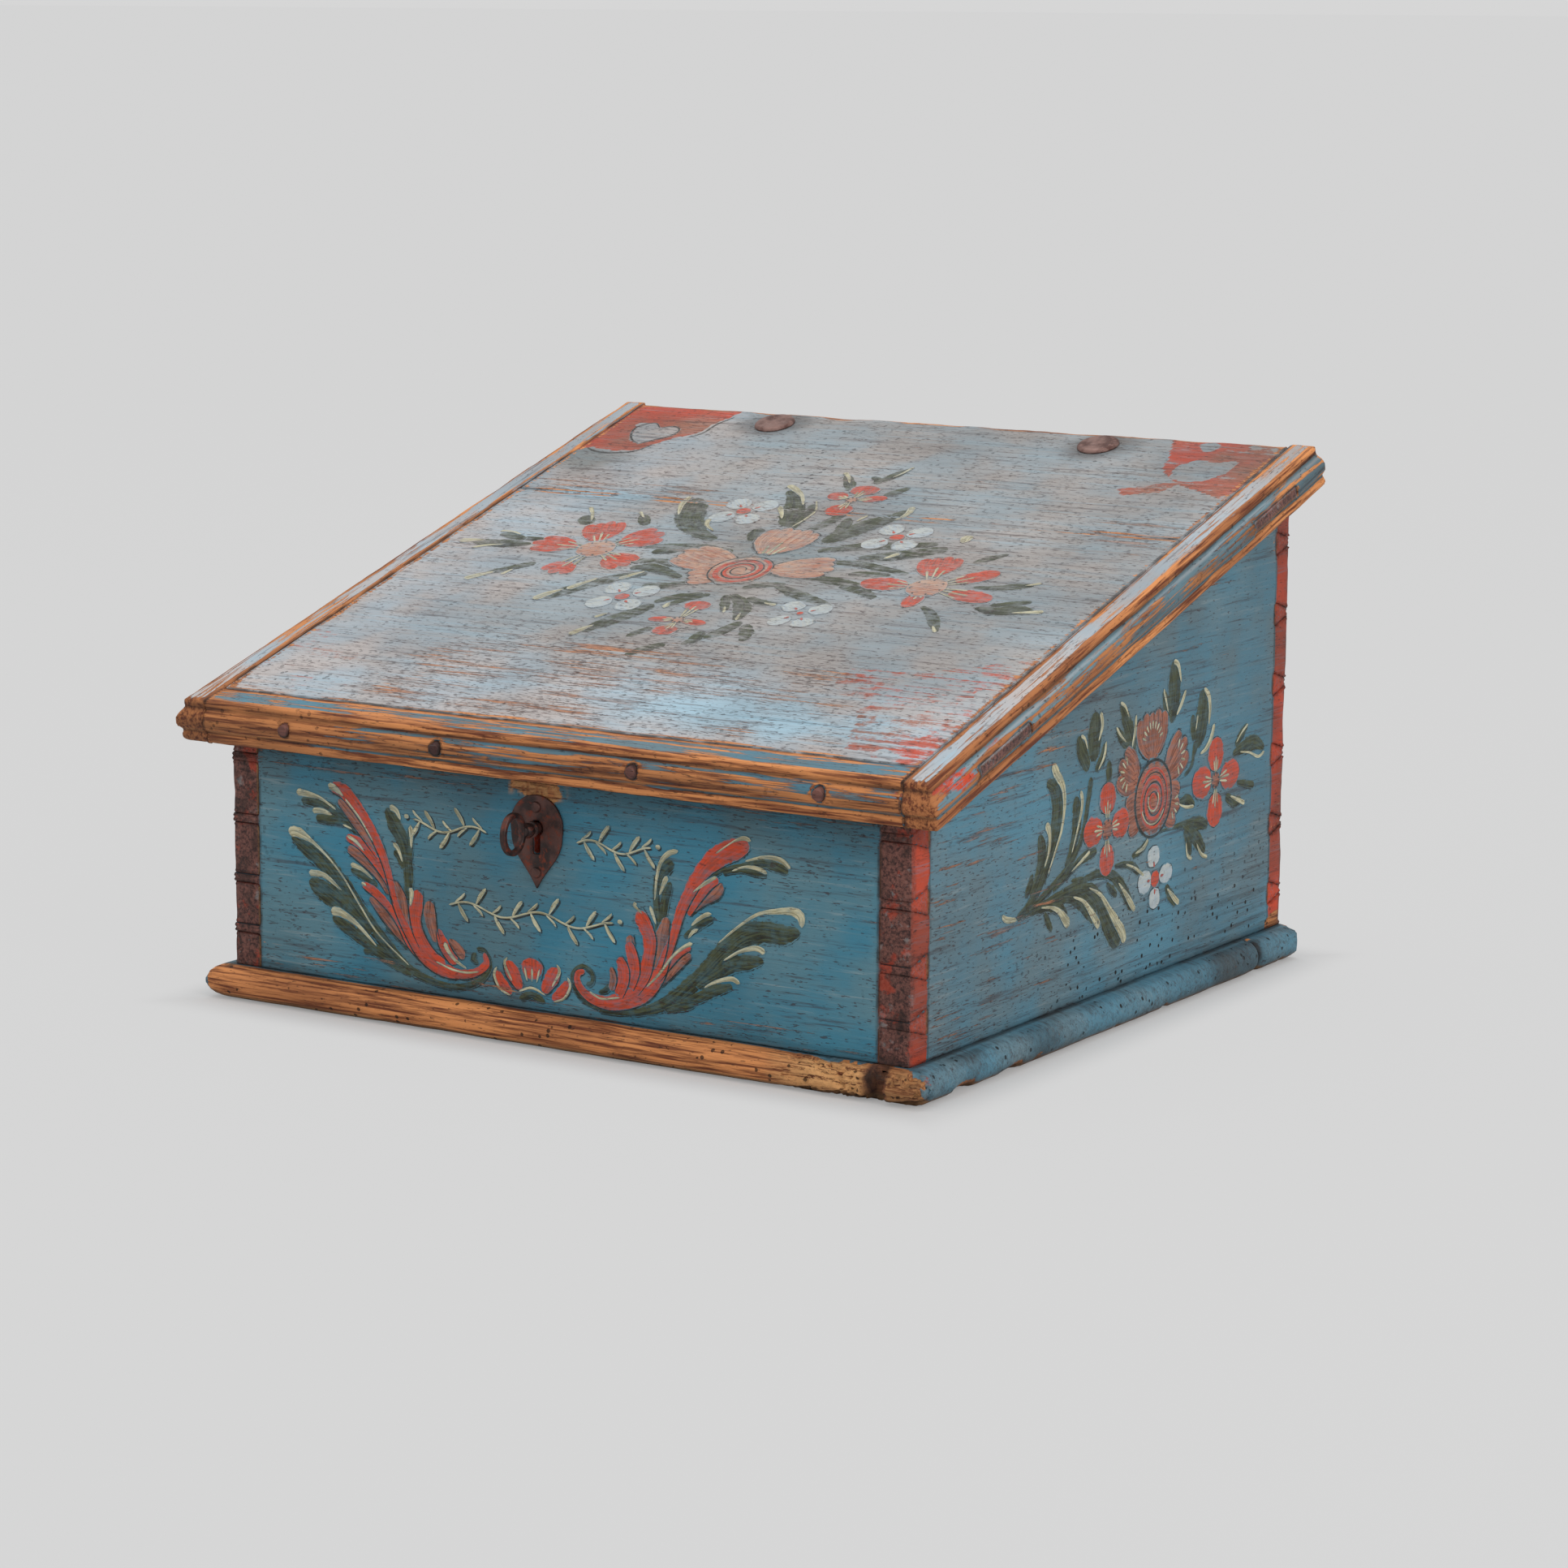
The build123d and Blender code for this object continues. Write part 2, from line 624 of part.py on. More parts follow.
# ---- Escutcheon ----
with BuildPart() as escutcheon:
    with BuildSketch(front_plane):
        with BuildLine():
            side_point = (key_x + escutcheon_half_width, key_z - 3)
            low_point = (key_x, key_z - escutcheon_fall)
            mirrored_point = (key_x - escutcheon_half_width, key_z - 3)
            ThreePointArc(side_point, (key_x, key_z + escutcheon_rise), mirrored_point)
            Spline(mirrored_point, (key_x - 9.5, key_z - 19.5), low_point, tangents=[(0, -1), (0.5, -1)])
            Spline(low_point, (key_x + 9.5, key_z - 19.5), side_point, tangents=[(0.5, 1), (0, 1)])
        make_face()
    extrude(amount=escutcheon_iron)
    with BuildSketch(front_plane):
        keyhole()
    extrude(amount=escutcheon_iron, mode=Mode.SUBTRACT)
    drill(front_plane, escutcheon_nail_places, nail_radius, escutcheon_iron)
save(escutcheon, "escutcheon")

with BuildPart() as escutcheon_nail_group:
    shank = escutcheon_nail_depth + escutcheon_iron
    nails(front_plane.offset(escutcheon_iron), escutcheon_nail_places, shank)
save(escutcheon_nail_group, "escutcheon_nails")

# ---- Lock ----
with BuildPart() as lock_case:
    with BuildSketch(inner_plane):
        with Locations((key_x, lock_bottom)):
            Rectangle(2 * lock_half_width, lock_top - lock_bottom, align=(Align.CENTER, Align.MIN))
    extrude(amount=-lock_inner_depth - lock_iron)
    with BuildSketch(inner_plane):
        with Locations((key_x, lock_bottom + lock_iron)):
            Rectangle(
                2 * (lock_half_width - lock_iron),
                lock_top - lock_bottom - 2 * lock_iron,
                align=(Align.CENTER, Align.MIN),
            )
    extrude(amount=-lock_inner_depth, mode=Mode.SUBTRACT)
    with BuildSketch(inner_plane):
        with Locations((key_x, lock_bottom)):
            Rectangle(2 * lock_half_width, lock_flange, align=(Align.CENTER, Align.MAX))
        with Locations((key_x - lock_half_width, lock_top - 14), (key_x + lock_half_width, lock_top - 14)):
            Rectangle(2 * lock_flange, 2 * lock_flange)
        with Locations((key_x, lock_bottom + lock_iron)):
            Rectangle(
                2 * (lock_half_width - lock_iron),
                lock_top - lock_bottom - 2 * lock_iron,
                align=(Align.CENTER, Align.MIN),
                mode=Mode.SUBTRACT,
            )
    extrude(amount=-lock_iron)
    with BuildSketch(Plane.XY.offset(lock_top - lock_iron)):
        with Locations((staple_middle_x, inner_y + 1.3)):
            Rectangle(staple_bar + 2.4, staple_gap + 2 * staple_iron + 2.6, align=(Align.CENTER, Align.MIN))
    extrude(amount=lock_iron, mode=Mode.SUBTRACT)
    drill(inner_plane, lock_nails, nail_radius, -lock_iron)
    drill(lock_plate_plane, [(key_x, key_z)], drill_pin_radius, -lock_iron)
save(lock_case, "lock_case")

with BuildPart() as lock_nail_group:
    flange_plane = Plane(origin=(0, inner_y + lock_iron, 0), x_dir=(-1, 0, 0), z_dir=(0, 1, 0))
    nails(flange_plane, [(-x, z) for x, z in lock_nails], lock_nail_depth + lock_iron)
save(lock_nail_group, "lock_nails")

with BuildPart() as lock_bolt:
    with BuildSketch(Plane.XZ.offset(-bolt_y)):
        with BuildLine():
            Polyline(
                (key_x - bolt_left, bolt_top),
                (key_x - bolt_left, bolt_bottom),
                (key_x - bolt_lobe_half_width, bolt_bottom),
                (key_x - bolt_lobe_half_width, talon_foot_z),
                (key_x + bolt_lobe_half_width, talon_foot_z),
                (key_x + bolt_lobe_half_width, bolt_bottom),
                (key_x + bolt_right, bolt_bottom),
                (key_x + bolt_right, bolt_top),
                close=True,
            )
        make_face()
        with BuildLine():
            Polyline(
                (key_x - talon_left, talon_foot_z),
                (key_x + talon_right, talon_foot_z),
                (key_x + talon_right, key_z + bit_radius + talon_clearance),
                (key_x - talon_left, key_z + bit_radius + talon_clearance),
                close=True,
            )
        make_face(mode=Mode.SUBTRACT)
    extrude(amount=bolt_iron / 2, both=True)
save(lock_bolt, "lock_bolt")

with BuildPart() as lock_guides:
    guide_front = bolt_y - bolt_iron / 2 - guide_wall
    with BuildSketch(lock_plate_plane):
        with Locations(*[(key_x + x, bolt_middle_z) for x in guide_places]):
            Rectangle(guide_width, 2 * guide_half_height)
    extrude(amount=plate_y - guide_front)
    with BuildSketch(Plane.YZ.offset(key_x)):
        with Locations((bolt_y, bolt_middle_z)):
            Rectangle(bolt_iron + 2 * bolt_clearance, bolt_bar_height + 2 * bolt_clearance)
    extrude(amount=lock_half_width, both=True, mode=Mode.SUBTRACT)
save(lock_guides, "lock_guides")

with BuildPart() as lock_spring:
    spring_top = lock_top - lock_iron
    spring_low = bolt_top + 0.1
    with BuildSketch(Plane.XZ.offset(-bolt_y)):
        with BuildLine():
            Polyline(
                (key_x - 13, spring_top - spring_iron),
                (key_x - 19, spring_top - spring_iron),
                (key_x - 19, spring_top),
                (key_x - 12, spring_top),
            )
            ThreePointArc(
                (key_x - 12, spring_top),
                (key_x, spring_low + spring_iron),
                (key_x + 12, spring_top - 0.4),
            )
            Line((key_x + 12, spring_top - 0.4), (key_x + 12, spring_top - 0.4 - spring_iron))
            ThreePointArc(
                (key_x + 12, spring_top - 0.4 - spring_iron),
                (key_x, spring_low),
                (key_x - 13, spring_top - spring_iron),
            )
        make_face()
    extrude(amount=spring_width / 2, both=True)
save(lock_spring, "lock_spring")

with BuildPart() as lock_drill_pin:
    with BuildSketch(lock_plate_plane):
        with Locations((key_x, key_z)):
            Circle(drill_pin_radius)
    extrude(amount=drill_pin_length)
    with BuildSketch(lock_plate_plane):
        with Locations((key_x, key_z)):
            Circle(drill_pin_radius)
    extrude(amount=-lock_iron)
save(lock_drill_pin, "lock_drill_pin")

with BuildPart() as lock_ward:
    with BuildSketch(lock_plate_plane):
        with Locations((key_x, key_z)):
            Circle(ward_radius + ward_iron / 2)
            Circle(ward_radius - ward_iron / 2, mode=Mode.SUBTRACT)
        with Locations((key_x, key_z - 1)):
            Rectangle(4 * ward_radius, 4 * ward_radius, align=(Align.CENTER, Align.MIN), mode=Mode.SUBTRACT)
    extrude(amount=ward_height)
save(lock_ward, "lock_ward")

# ---- Key, standing upright with its bit in the bolt's talon ----
shank_end = plate_y - shank_end_gap
bit_end = inner_y + bit_start + bit_length

with BuildPart() as key:
    with BuildSketch(key_plane):
        with Locations((front_y + bow_centre, key_z)):
            Ellipse(bow_half_depth, bow_half_height)
            Ellipse(bow_half_depth - bow_bar, bow_half_height - bow_bar, mode=Mode.SUBTRACT)
    extrude(amount=bow_thickness / 2, both=True)
    fillet(key.edges(), radius=1.1)
    shank_start = front_y + bow_centre + bow_half_depth - bow_bar / 2
    with BuildSketch(Plane.XZ.offset(-shank_end)):
        with Locations((key_x, key_z)):
            Circle(shank_radius)
    extrude(amount=shank_end - shank_start)
    with Locations((key_x, front_y + ball_centre, key_z)):
        Sphere(ball_radius)
    with BuildSketch(front_plane.offset(-collar_start - collar_length)):
        with Locations((key_x, key_z)):
            Circle(collar_radius)
    extrude(amount=collar_length)
    with BuildSketch(key_plane):
        with Locations((inner_y + bit_start, key_z)):
            Rectangle(bit_length, bit_radius, align=(Align.MIN, Align.MIN))
        with Locations((bit_end, key_z + ward_radius)):
            Rectangle(2 * bit_cleft, ward_iron + 2 * ward_gap, mode=Mode.SUBTRACT)
    extrude(amount=bit_iron / 2, both=True)
    with BuildSketch(Plane.XZ.offset(-shank_end)):
        with Locations((key_x, key_z)):
            Circle(drill_pin_radius + drill_pin_gap)
    extrude(amount=drill_pin_length, mode=Mode.SUBTRACT)
save(key, "key")

# ---- Staple under the lid ----
with BuildPart() as lid_staple:
    with BuildSketch(lid_plane.offset(-staple_plate_iron)):
        with Locations((staple_middle_x, staple_u - staple_half)):
            Rectangle(staple_plate_width, staple_plate_length, align=(Align.CENTER, Align.MIN))
    extrude(amount=staple_plate_iron)
    with BuildSketch(lid_side_plane.offset(staple_middle_x)):
        with Locations((staple_u, 0)):
            Rectangle(2 * staple_half, staple_iron - staple_foot_v, align=(Align.CENTER, Align.MAX))
    extrude(amount=staple_bar / 2, both=True)
    low_edges = lid_staple.edges().filter_by(Axis.X).sort_by(Axis(lid_origin, lid_normal))[:2]
    fillet(low_edges, radius=staple_half / 2)
    with BuildSketch(lid_side_plane.offset(staple_middle_x)):
        with Locations((staple_u, -staple_plate_iron)):
            Rectangle(staple_gap, -staple_foot_v - staple_plate_iron, align=(Align.CENTER, Align.MAX))
    extrude(amount=staple_bar, both=True, mode=Mode.SUBTRACT)
    drill(lid_plane, staple_nail_places, nail_radius, -staple_plate_iron)
save(lid_staple, "lid_staple")

with BuildPart() as lid_staple_nails:
    plate_origin = lid_origin - lid_normal * staple_plate_iron
    plate_underside = Plane(origin=plate_origin, x_dir=(1, 0, 0), z_dir=-lid_normal)
    nails(plate_underside, [(x, -u) for x, u in staple_nail_places], strap_nail_depth + staple_plate_iron)
save(lid_staple_nails, "lid_staple_nails")
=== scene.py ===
"""Slant-top lap desk: worn painted boards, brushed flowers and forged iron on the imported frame.

Lengths are metres unless a name ends in _mm, with two exceptions in millimetres: the x, y, z, u and v inside
the marks and shapes, and a painting's points on its own face, which run across and up from the front lower
edge of the case, or across and up the slope on the lid.
"""

from math import atan2, cos, hypot, pi, radians, sin, sqrt

import bmesh
import bpy
import numpy as np
from bpy.props import FloatProperty, FloatVectorProperty, PointerProperty
from mathutils import Matrix, Vector, noise
from mathutils.bvhtree import BVHTree


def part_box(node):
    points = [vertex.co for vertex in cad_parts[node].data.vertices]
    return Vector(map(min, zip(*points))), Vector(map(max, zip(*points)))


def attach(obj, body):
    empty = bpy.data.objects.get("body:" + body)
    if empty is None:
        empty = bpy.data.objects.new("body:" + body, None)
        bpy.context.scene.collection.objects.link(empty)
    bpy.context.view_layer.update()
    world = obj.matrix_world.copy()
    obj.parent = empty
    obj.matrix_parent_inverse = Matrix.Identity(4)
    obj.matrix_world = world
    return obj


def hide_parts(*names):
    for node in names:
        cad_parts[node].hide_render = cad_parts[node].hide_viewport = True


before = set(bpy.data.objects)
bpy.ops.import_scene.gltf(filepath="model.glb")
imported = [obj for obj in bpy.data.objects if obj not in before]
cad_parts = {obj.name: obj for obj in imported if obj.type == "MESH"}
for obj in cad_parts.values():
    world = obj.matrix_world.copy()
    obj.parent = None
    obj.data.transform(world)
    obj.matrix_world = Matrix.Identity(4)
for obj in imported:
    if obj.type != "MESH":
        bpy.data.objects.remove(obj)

bl_info = {
    "name": "Lap desk",
    "version": (1, 0, 0),
    "blender": (4, 5, 0),
    "location": "3D View > Sidebar > Lap desk",
    "description": "Worn painted boards, brushed ornament and forged iron for a slant-top lap desk",
    "category": "Object",
}

mm = 0.001

# Places read from the frame
front_low, front_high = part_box("front_board")
side_low, side_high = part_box("right_side_board")
front_y = front_low.y
back_y = side_high.y
bottom_top = front_low.z
half_width = front_high.x
board = front_high.y - front_low.y
side_thickness = side_high.x - side_low.x
inner_half_width = half_width - side_thickness
inner_front_y = front_y + board
plank_gap_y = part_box("bottom_rear_plank")[0].y
cleat_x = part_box("lid_right_cleat")[0].x
bottom_top_mm = bottom_top / mm
front_y_mm = front_y / mm
plank_gap_y_mm = plank_gap_y / mm
# The lid's own sizes
lid_slope = radians(17.1)
lid_thickness = 25 * mm
lid_start = Vector((0, front_y, 149 * mm))
up_slope = Vector((0, cos(lid_slope), sin(lid_slope)))
lid_normal = Vector((0, -sin(lid_slope), cos(lid_slope)))


def srgb(red, green, blue):
    """Linear colour of a display colour that is given from 0 to 255."""
    parts = [c / 255 for c in (red, green, blue)]
    return tuple(p / 12.92 if p <= 0.04045 else ((p + 0.055) / 1.055) ** 2.4 for p in parts)


def colour(name, description, display):
    """Colour property whose default is a display colour."""
    return FloatVectorProperty(
        name=name, description=description, default=srgb(*display), size=3, min=0, max=1, subtype="COLOR"
    )


def in_metres(name, description, default, least=0.0):
    """Length property."""
    return FloatProperty(name=name, description=description, default=default, min=least, unit="LENGTH")


def in_radians(name, description, degrees):
    """Angle property whose default is given in degrees."""
    return FloatProperty(name=name, description=description, default=radians(degrees), subtype="ANGLE")


class PaintColours(bpy.types.PropertyGroup):
    """Colours of the painted surfaces."""

    front_blue: colour("Front blue", "Deep blue of the front", (60, 127, 151))
    front_blue_worn: colour("Front blue, worn", "Rubbed blue of the front", (90, 130, 143))
    case_blue: colour("Case blue", "Blue of the sides and the back", (87, 136, 156))
    case_blue_worn: colour("Case blue, worn", "Rubbed and dusty blue of the sides", (105, 131, 141))
    lid_blue: colour("Lid blue", "Weathered blue of the lid", (174, 187, 196))
    lid_grey: colour("Lid grey", "Greyed paint of the lid", (194, 186, 183))
    # Also the colour of the paler patch at the lid's front right.
    lid_sky: colour("Lid sky blue", "Fresher blue streaks on the lid", (164, 206, 226))
    red: colour("Red", "Red of the flowers and the bands", (208, 74, 42))
    red_deep: colour("Deep red", "Shaded red", (160, 70, 50))
    rose: colour("Rose", "Dull rose of the leaf backs and the large rose", (170, 108, 84))
    rose_deep: colour("Deep rose", "Shaded rose", (108, 64, 50))
    rose_pale: colour("Pale rose", "Bleached rose of the lid", (196, 162, 140))
    haze: colour("Green haze", "Rubbed green round the lid's bouquet", (84, 94, 84))
    leaf: colour("Leaf green", "Near-black green of the leaves", (36, 40, 30))
    leaf_light: colour("Light leaf green", "Olive of the lit side of a leaf", (78, 84, 58))
    cream: colour("Cream", "Highlights on leaves and petals", (208, 202, 168))
    cream_deep: colour("Deep cream", "Thin cream over green", (142, 136, 106))
    white: colour("Dull white", "Petals of the small flowers", (192, 196, 190))
    shade: colour("Outline", "Dark outlines round the petals", (42, 34, 30))
    chalk: colour("Chalk", "Pale bloom on rubbed paint", (172, 180, 180))


class WoodColours(bpy.types.PropertyGroup):
    """Colours of the wood where it is bare."""

    worn: colour("Worn pine", "Bare edges polished by hands", (226, 150, 92))
    worn_dark: colour("Worn pine, dark", "Grain lines of the bare edges", (104, 54, 34))
    raw: colour("Raw pine", "Fresh fibres where worms ate the edge", (246, 184, 122))
    old: colour("Old pine", "Bare wood inside the case", (158, 118, 80))
    old_dark: colour("Old pine, dark", "Grain lines inside the case", (104, 72, 48))
    end_grain: colour("End grain", "Stained end grain at the corners", (134, 88, 78))
    # This colour also serves as painted shade: the shadow under the lid on the front's top, and the dark
    # inside the bottom's split.
    end_dark: colour("End grain, dark", "Dark pores of the end grain", (62, 38, 37))
    grime: colour("Grime", "Dirt in corners, cracks and pits", (38, 31, 28))


class IronColours(bpy.types.PropertyGroup):
    """Colours of the ironwork."""

    brown: colour("Iron brown", "Browned iron", (92, 62, 56))
    dark: colour("Iron dark", "Dark iron between the rust", (50, 38, 36))
    rust: colour("Rust", "Red rust", (122, 58, 40))
    rubbed: colour("Rubbed iron", "Heads of the large rivets", (146, 116, 108))


class WearSizes(bpy.types.PropertyGroup):
    """How far the boards are worn."""

    board_grid: in_metres("Board grid", "Mesh size on the boards", 1.5 * mm, 1 * mm)
    moulding_grid: in_metres("Moulding grid", "Mesh size on the mouldings", 0.85 * mm, 0.5 * mm)
    iron_grid: in_metres("Iron grid", "Mesh size on the ironwork", 0.45 * mm, 0.2 * mm)
    plank_grid: in_metres("Plank grid", "Mesh size on the wide planks", 1.9 * mm, 1 * mm)
    bottom_grid: in_metres("Bottom grid", "Mesh size on the bottom's front plank", 2.2 * mm, 1 * mm)
    edge_depth: in_metres("Edge wear", "Deepest wear of an arris", 0.9 * mm)
    waviness: in_metres("Waviness", "Unevenness of a flat face", 0.16 * mm)
    paint_body: in_metres("Paint body", "Thickness of a coat of paint", 0.045 * mm)


class StageSettings(bpy.types.PropertyGroup):
    """Camera, light and floor."""

    lens: FloatProperty(name="Lens", description="Focal length in millimetres", default=99.76, min=1)
    distance: in_metres("Distance", "From the camera to the aim point", 2.32, 0.1)
    azimuth: in_radians("Azimuth", "Camera to the right of the front", 32.34)
    elevation: in_radians("Elevation", "Camera above the horizon", 10.18)
    roll: in_radians("Roll", "Camera's tilt", 0.36)
    floor: colour("Floor", "Pale floor and backdrop", (214, 214, 214))


# ---- Finishes ----
class Finish:
    """One material, with short calls for the nodes that the finishes share."""

    def __init__(self, name):
        self.material = bpy.data.materials.new(name)
        self.material.use_nodes = True
        self.tree = self.material.node_tree
        self.shader = self.tree.nodes["Principled BSDF"]
        self.place = self.add("ShaderNodeTexCoord").outputs["Object"]

    def add(self, kind, sockets=None, **settings):
        """New node, with its settings and its sockets filled."""
        node = self.tree.nodes.new(kind)
        for key, value in settings.items():
            setattr(node, key, value)
        for socket, value in (sockets or {}).items():
            self.feed(node.inputs[socket], value)
        return node

    def feed(self, socket, value):
        """Links a socket to another, or gives it a constant."""
        if isinstance(value, bpy.types.NodeSocket):
            self.tree.links.new(value, socket)
        elif socket.type == "RGBA":
            socket.default_value = (*value[:3], 1)
        else:
            socket.default_value = value

    def maths(self, operation, a, b=0.0, clamp=False):
        node = self.add("ShaderNodeMath", {0: a, 1: b}, operation=operation, use_clamp=clamp)
        return node.outputs[0]

    def times(self, a, b):
        return self.maths("MULTIPLY", a, b)

    def moved(self, scale=(1, 1, 1), turn=(0, 0, 0), place=None):
        """Coordinates that are turned and then stretched."""
        source = place or self.place
        if any(turn):
            source = self.add("ShaderNodeMapping", {"Vector": source, "Rotation": turn}).outputs[0]
        return self.add("ShaderNodeMapping", {"Vector": source, "Scale": scale}).outputs[0]

    def cloud(self, place, scale=1.0, detail=4.0, rough=0.55, bend=0.0):
        """Soft noise from 0 to 1."""
        sockets = {"Vector": place, "Scale": scale, "Detail": detail, "Roughness": rough, "Distortion": bend}
        return self.add("ShaderNodeTexNoise", sockets).outputs[0]

    def pits(self, place, scale):
        """Distance to the nearest of many scattered points."""
        node = self.add("ShaderNodeTexVoronoi", {"Vector": place, "Scale": scale})
        return node.outputs["Distance"]

    def step(self, value, low, high, start=0.0, end=1.0):
        """Smooth step of a value between two levels."""
        sockets = {"Value": value, 1: low, 2: high, 3: start, 4: end}
        return self.add("ShaderNodeMapRange", sockets, interpolation_type="SMOOTHSTEP").outputs[0]

    def blend(self, factor, a, b):
        """Mix of two colours."""
        node = self.add("ShaderNodeMix", data_type="RGBA", clamp_factor=True)
        self.feed(node.inputs[0], factor)
        self.feed(node.inputs[6], a)
        self.feed(node.inputs[7], b)
        return node.outputs[2]

    def painted(self, name):
        """Strength of a mark that is stored on the piece's points."""
        return self.add("ShaderNodeAttribute", attribute_name=name).outputs["Fac"]

    def axis(self, letter):
        return self.add("ShaderNodeSeparateXYZ", {0: self.place}).outputs[letter]

    def finish(self, base, roughness, height=None, depth=0.0003, strength=0.5, metallic=0.0, sheen=0.5):
        """Feeds the shader and returns the material."""
        self.feed(self.shader.inputs["Base Color"], base)
        self.feed(self.shader.inputs["Roughness"], roughness)
        self.shader.inputs["Metallic"].default_value = metallic
        self.shader.inputs["Specular IOR Level"].default_value = sheen
        if height is not None:
            bump = self.add("ShaderNodeBump", {"Height": height, "Distance": depth, "Strength": strength})
            self.feed(self.shader.inputs["Normal"], bump.outputs[0])
        return self.material


GRAIN = {
    "x": ((22, 520, 520), (0, 0, 0)),
    "y": ((520, 22, 520), (0, 0, 0)),
    "slope": ((520, 22, 520), (-lid_slope, 0, 0)),
}


class Board:
    """Look of a painted pine board, shared by its own finish and by the ornament painted on it."""

    def __init__(self, recipe, grain, paints, bare_level, red=None, lid=None, dirt=0.35, flecks=0.64):
        scale, turn = GRAIN[grain]
        self.recipe, self.scale, self.turn = recipe, scale, turn
        self.woods = bpy.context.scene.desk_wood
        self.chalk = bpy.context.scene.desk_paint.chalk
        self.rub = recipe.painted("rub")
        self.streak = self.along(1.0, 6, 0.62)
        self.ribbon = self.along(0.4, 3, 0.5)
        self.lines = self.along(0.65, 5, 0.72)
        self.broken = self.along(0.5, 7, 0.78)
        self.blotch = recipe.cloud(recipe.place, 21, 3, 0.5)
        self.wide = recipe.cloud(recipe.place, 7.5, 2, 0.5)
        self.fibre = self.along(0.8, 7, 0.75)
        self.pores = recipe.cloud(recipe.place, 520, 6, 0.75)
        self.wear_away(bare_level, flecks)
        self.colour_paint(paints, red, lid)
        self.colour_wood(dirt, red)

    def along(self, factor, detail, rough, scale=None):
        """Noise drawn out along the grain."""
        scale = tuple(s * factor for s in (scale or self.scale))
        return self.recipe.cloud(self.recipe.moved(scale, self.turn), 1.0, detail, rough, 0.3)

    def sum(self, *parts):
        """Weighted sum of values, given as pairs of a value and its weight."""
        total = 0.0
        for value, weight in parts:
            total = self.recipe.maths("ADD", total, self.recipe.times(value, weight))
        return total

    def wear_away(self, bare_level, flecks):
        """Where the paint is gone, flecked, chipped or eaten."""
        recipe = self.recipe
        worn = self.sum(
            (self.streak, 0.5), (self.ribbon, 0.3), (self.blotch, 0.2), (recipe.painted("wear"), 0.3),
            (recipe.painted("bare"), 0.5), (self.rub, 0.04),
        )
        self.bare = recipe.step(worn, bare_level, bare_level + 0.04)
        short = tuple(1000 if s > 100 else 210 for s in self.scale)
        fleck = self.sum((self.along(1.0, 2, 0.55, short), 1.0), (self.rub, 0.045), (self.blotch, 0.12))
        self.fleck = recipe.step(fleck, flecks + 0.06, flecks + 0.115)
        scraped = self.sum((self.broken, 1.0), (self.rub, 0.125))
        self.chip = recipe.step(scraped, 0.65, 0.67)
        wormy = self.sum((recipe.painted("worms"), 1.0), (recipe.step(self.wide, 0.56, 0.7), 0.3))
        pitted = recipe.step(recipe.pits(recipe.place, 165), 0.15, 0.21, 1.0, 0.0)
        chosen = recipe.step(recipe.cloud(recipe.place, 120, 1, 0.5), 0.44, 0.47)
        self.hole = recipe.maths("MULTIPLY", recipe.times(pitted, chosen), wormy, clamp=True)

    def colour_paint(self, paints, red, lid):
        """Colour of the paint, with its dust, grain lines, dirt and red remnants."""
        recipe, woods = self.recipe, self.woods
        paint = recipe.blend(recipe.step(self.blotch, 0.35, 0.65), paints[0], paints[1])
        paint = recipe.blend(recipe.step(self.streak, 0.46, 0.72, 0.0, 0.5), paint, paints[1])
        if lid:
            sky = self.sum((recipe.step(self.ribbon, 0.54, 0.66), 0.25), (recipe.painted("sky"), 0.65))
            paint = recipe.blend(sky, paint, lid[0])
            paint = recipe.blend(recipe.painted("haze"), paint, lid[1])
        dusty = recipe.step(self.blotch, 0.35, 0.6, 0.1, 0.3)
        pale = recipe.times(recipe.step(self.lines, 0.55, 0.68), dusty)
        paint = recipe.blend(pale, paint, self.chalk)
        if red:
            flaked = recipe.cloud(recipe.place, 75, 6, 0.75)
            torn = self.sum((recipe.painted("red"), 0.5), (self.broken, 0.6), (flaked, 0.4))
            streaked = recipe.step(self.streak, 0.5, 0.7, 1.0, 0.6)
            amount = recipe.times(recipe.step(torn, 0.85, 0.92), streaked)
            shaded = recipe.blend(recipe.step(self.blotch, 0.35, 0.65), red[0], red[1])
            paint = recipe.blend(amount, paint, shaded)
        paint = recipe.blend(recipe.step(self.lines, 0.33, 0.47, 0.55, 0.0), paint, woods.end_dark)
        paint = recipe.blend(recipe.step(self.wide, 0.35, 0.6, 0.25, 0.0), paint, woods.grime)
        stain = recipe.times(recipe.painted("worms"), recipe.step(self.broken, 0.46, 0.6, 0.0, 0.4))
        paint = recipe.blend(stain, paint, woods.grime)
        self.paint = recipe.blend(recipe.times(self.fleck, 0.66), paint, woods.end_dark)

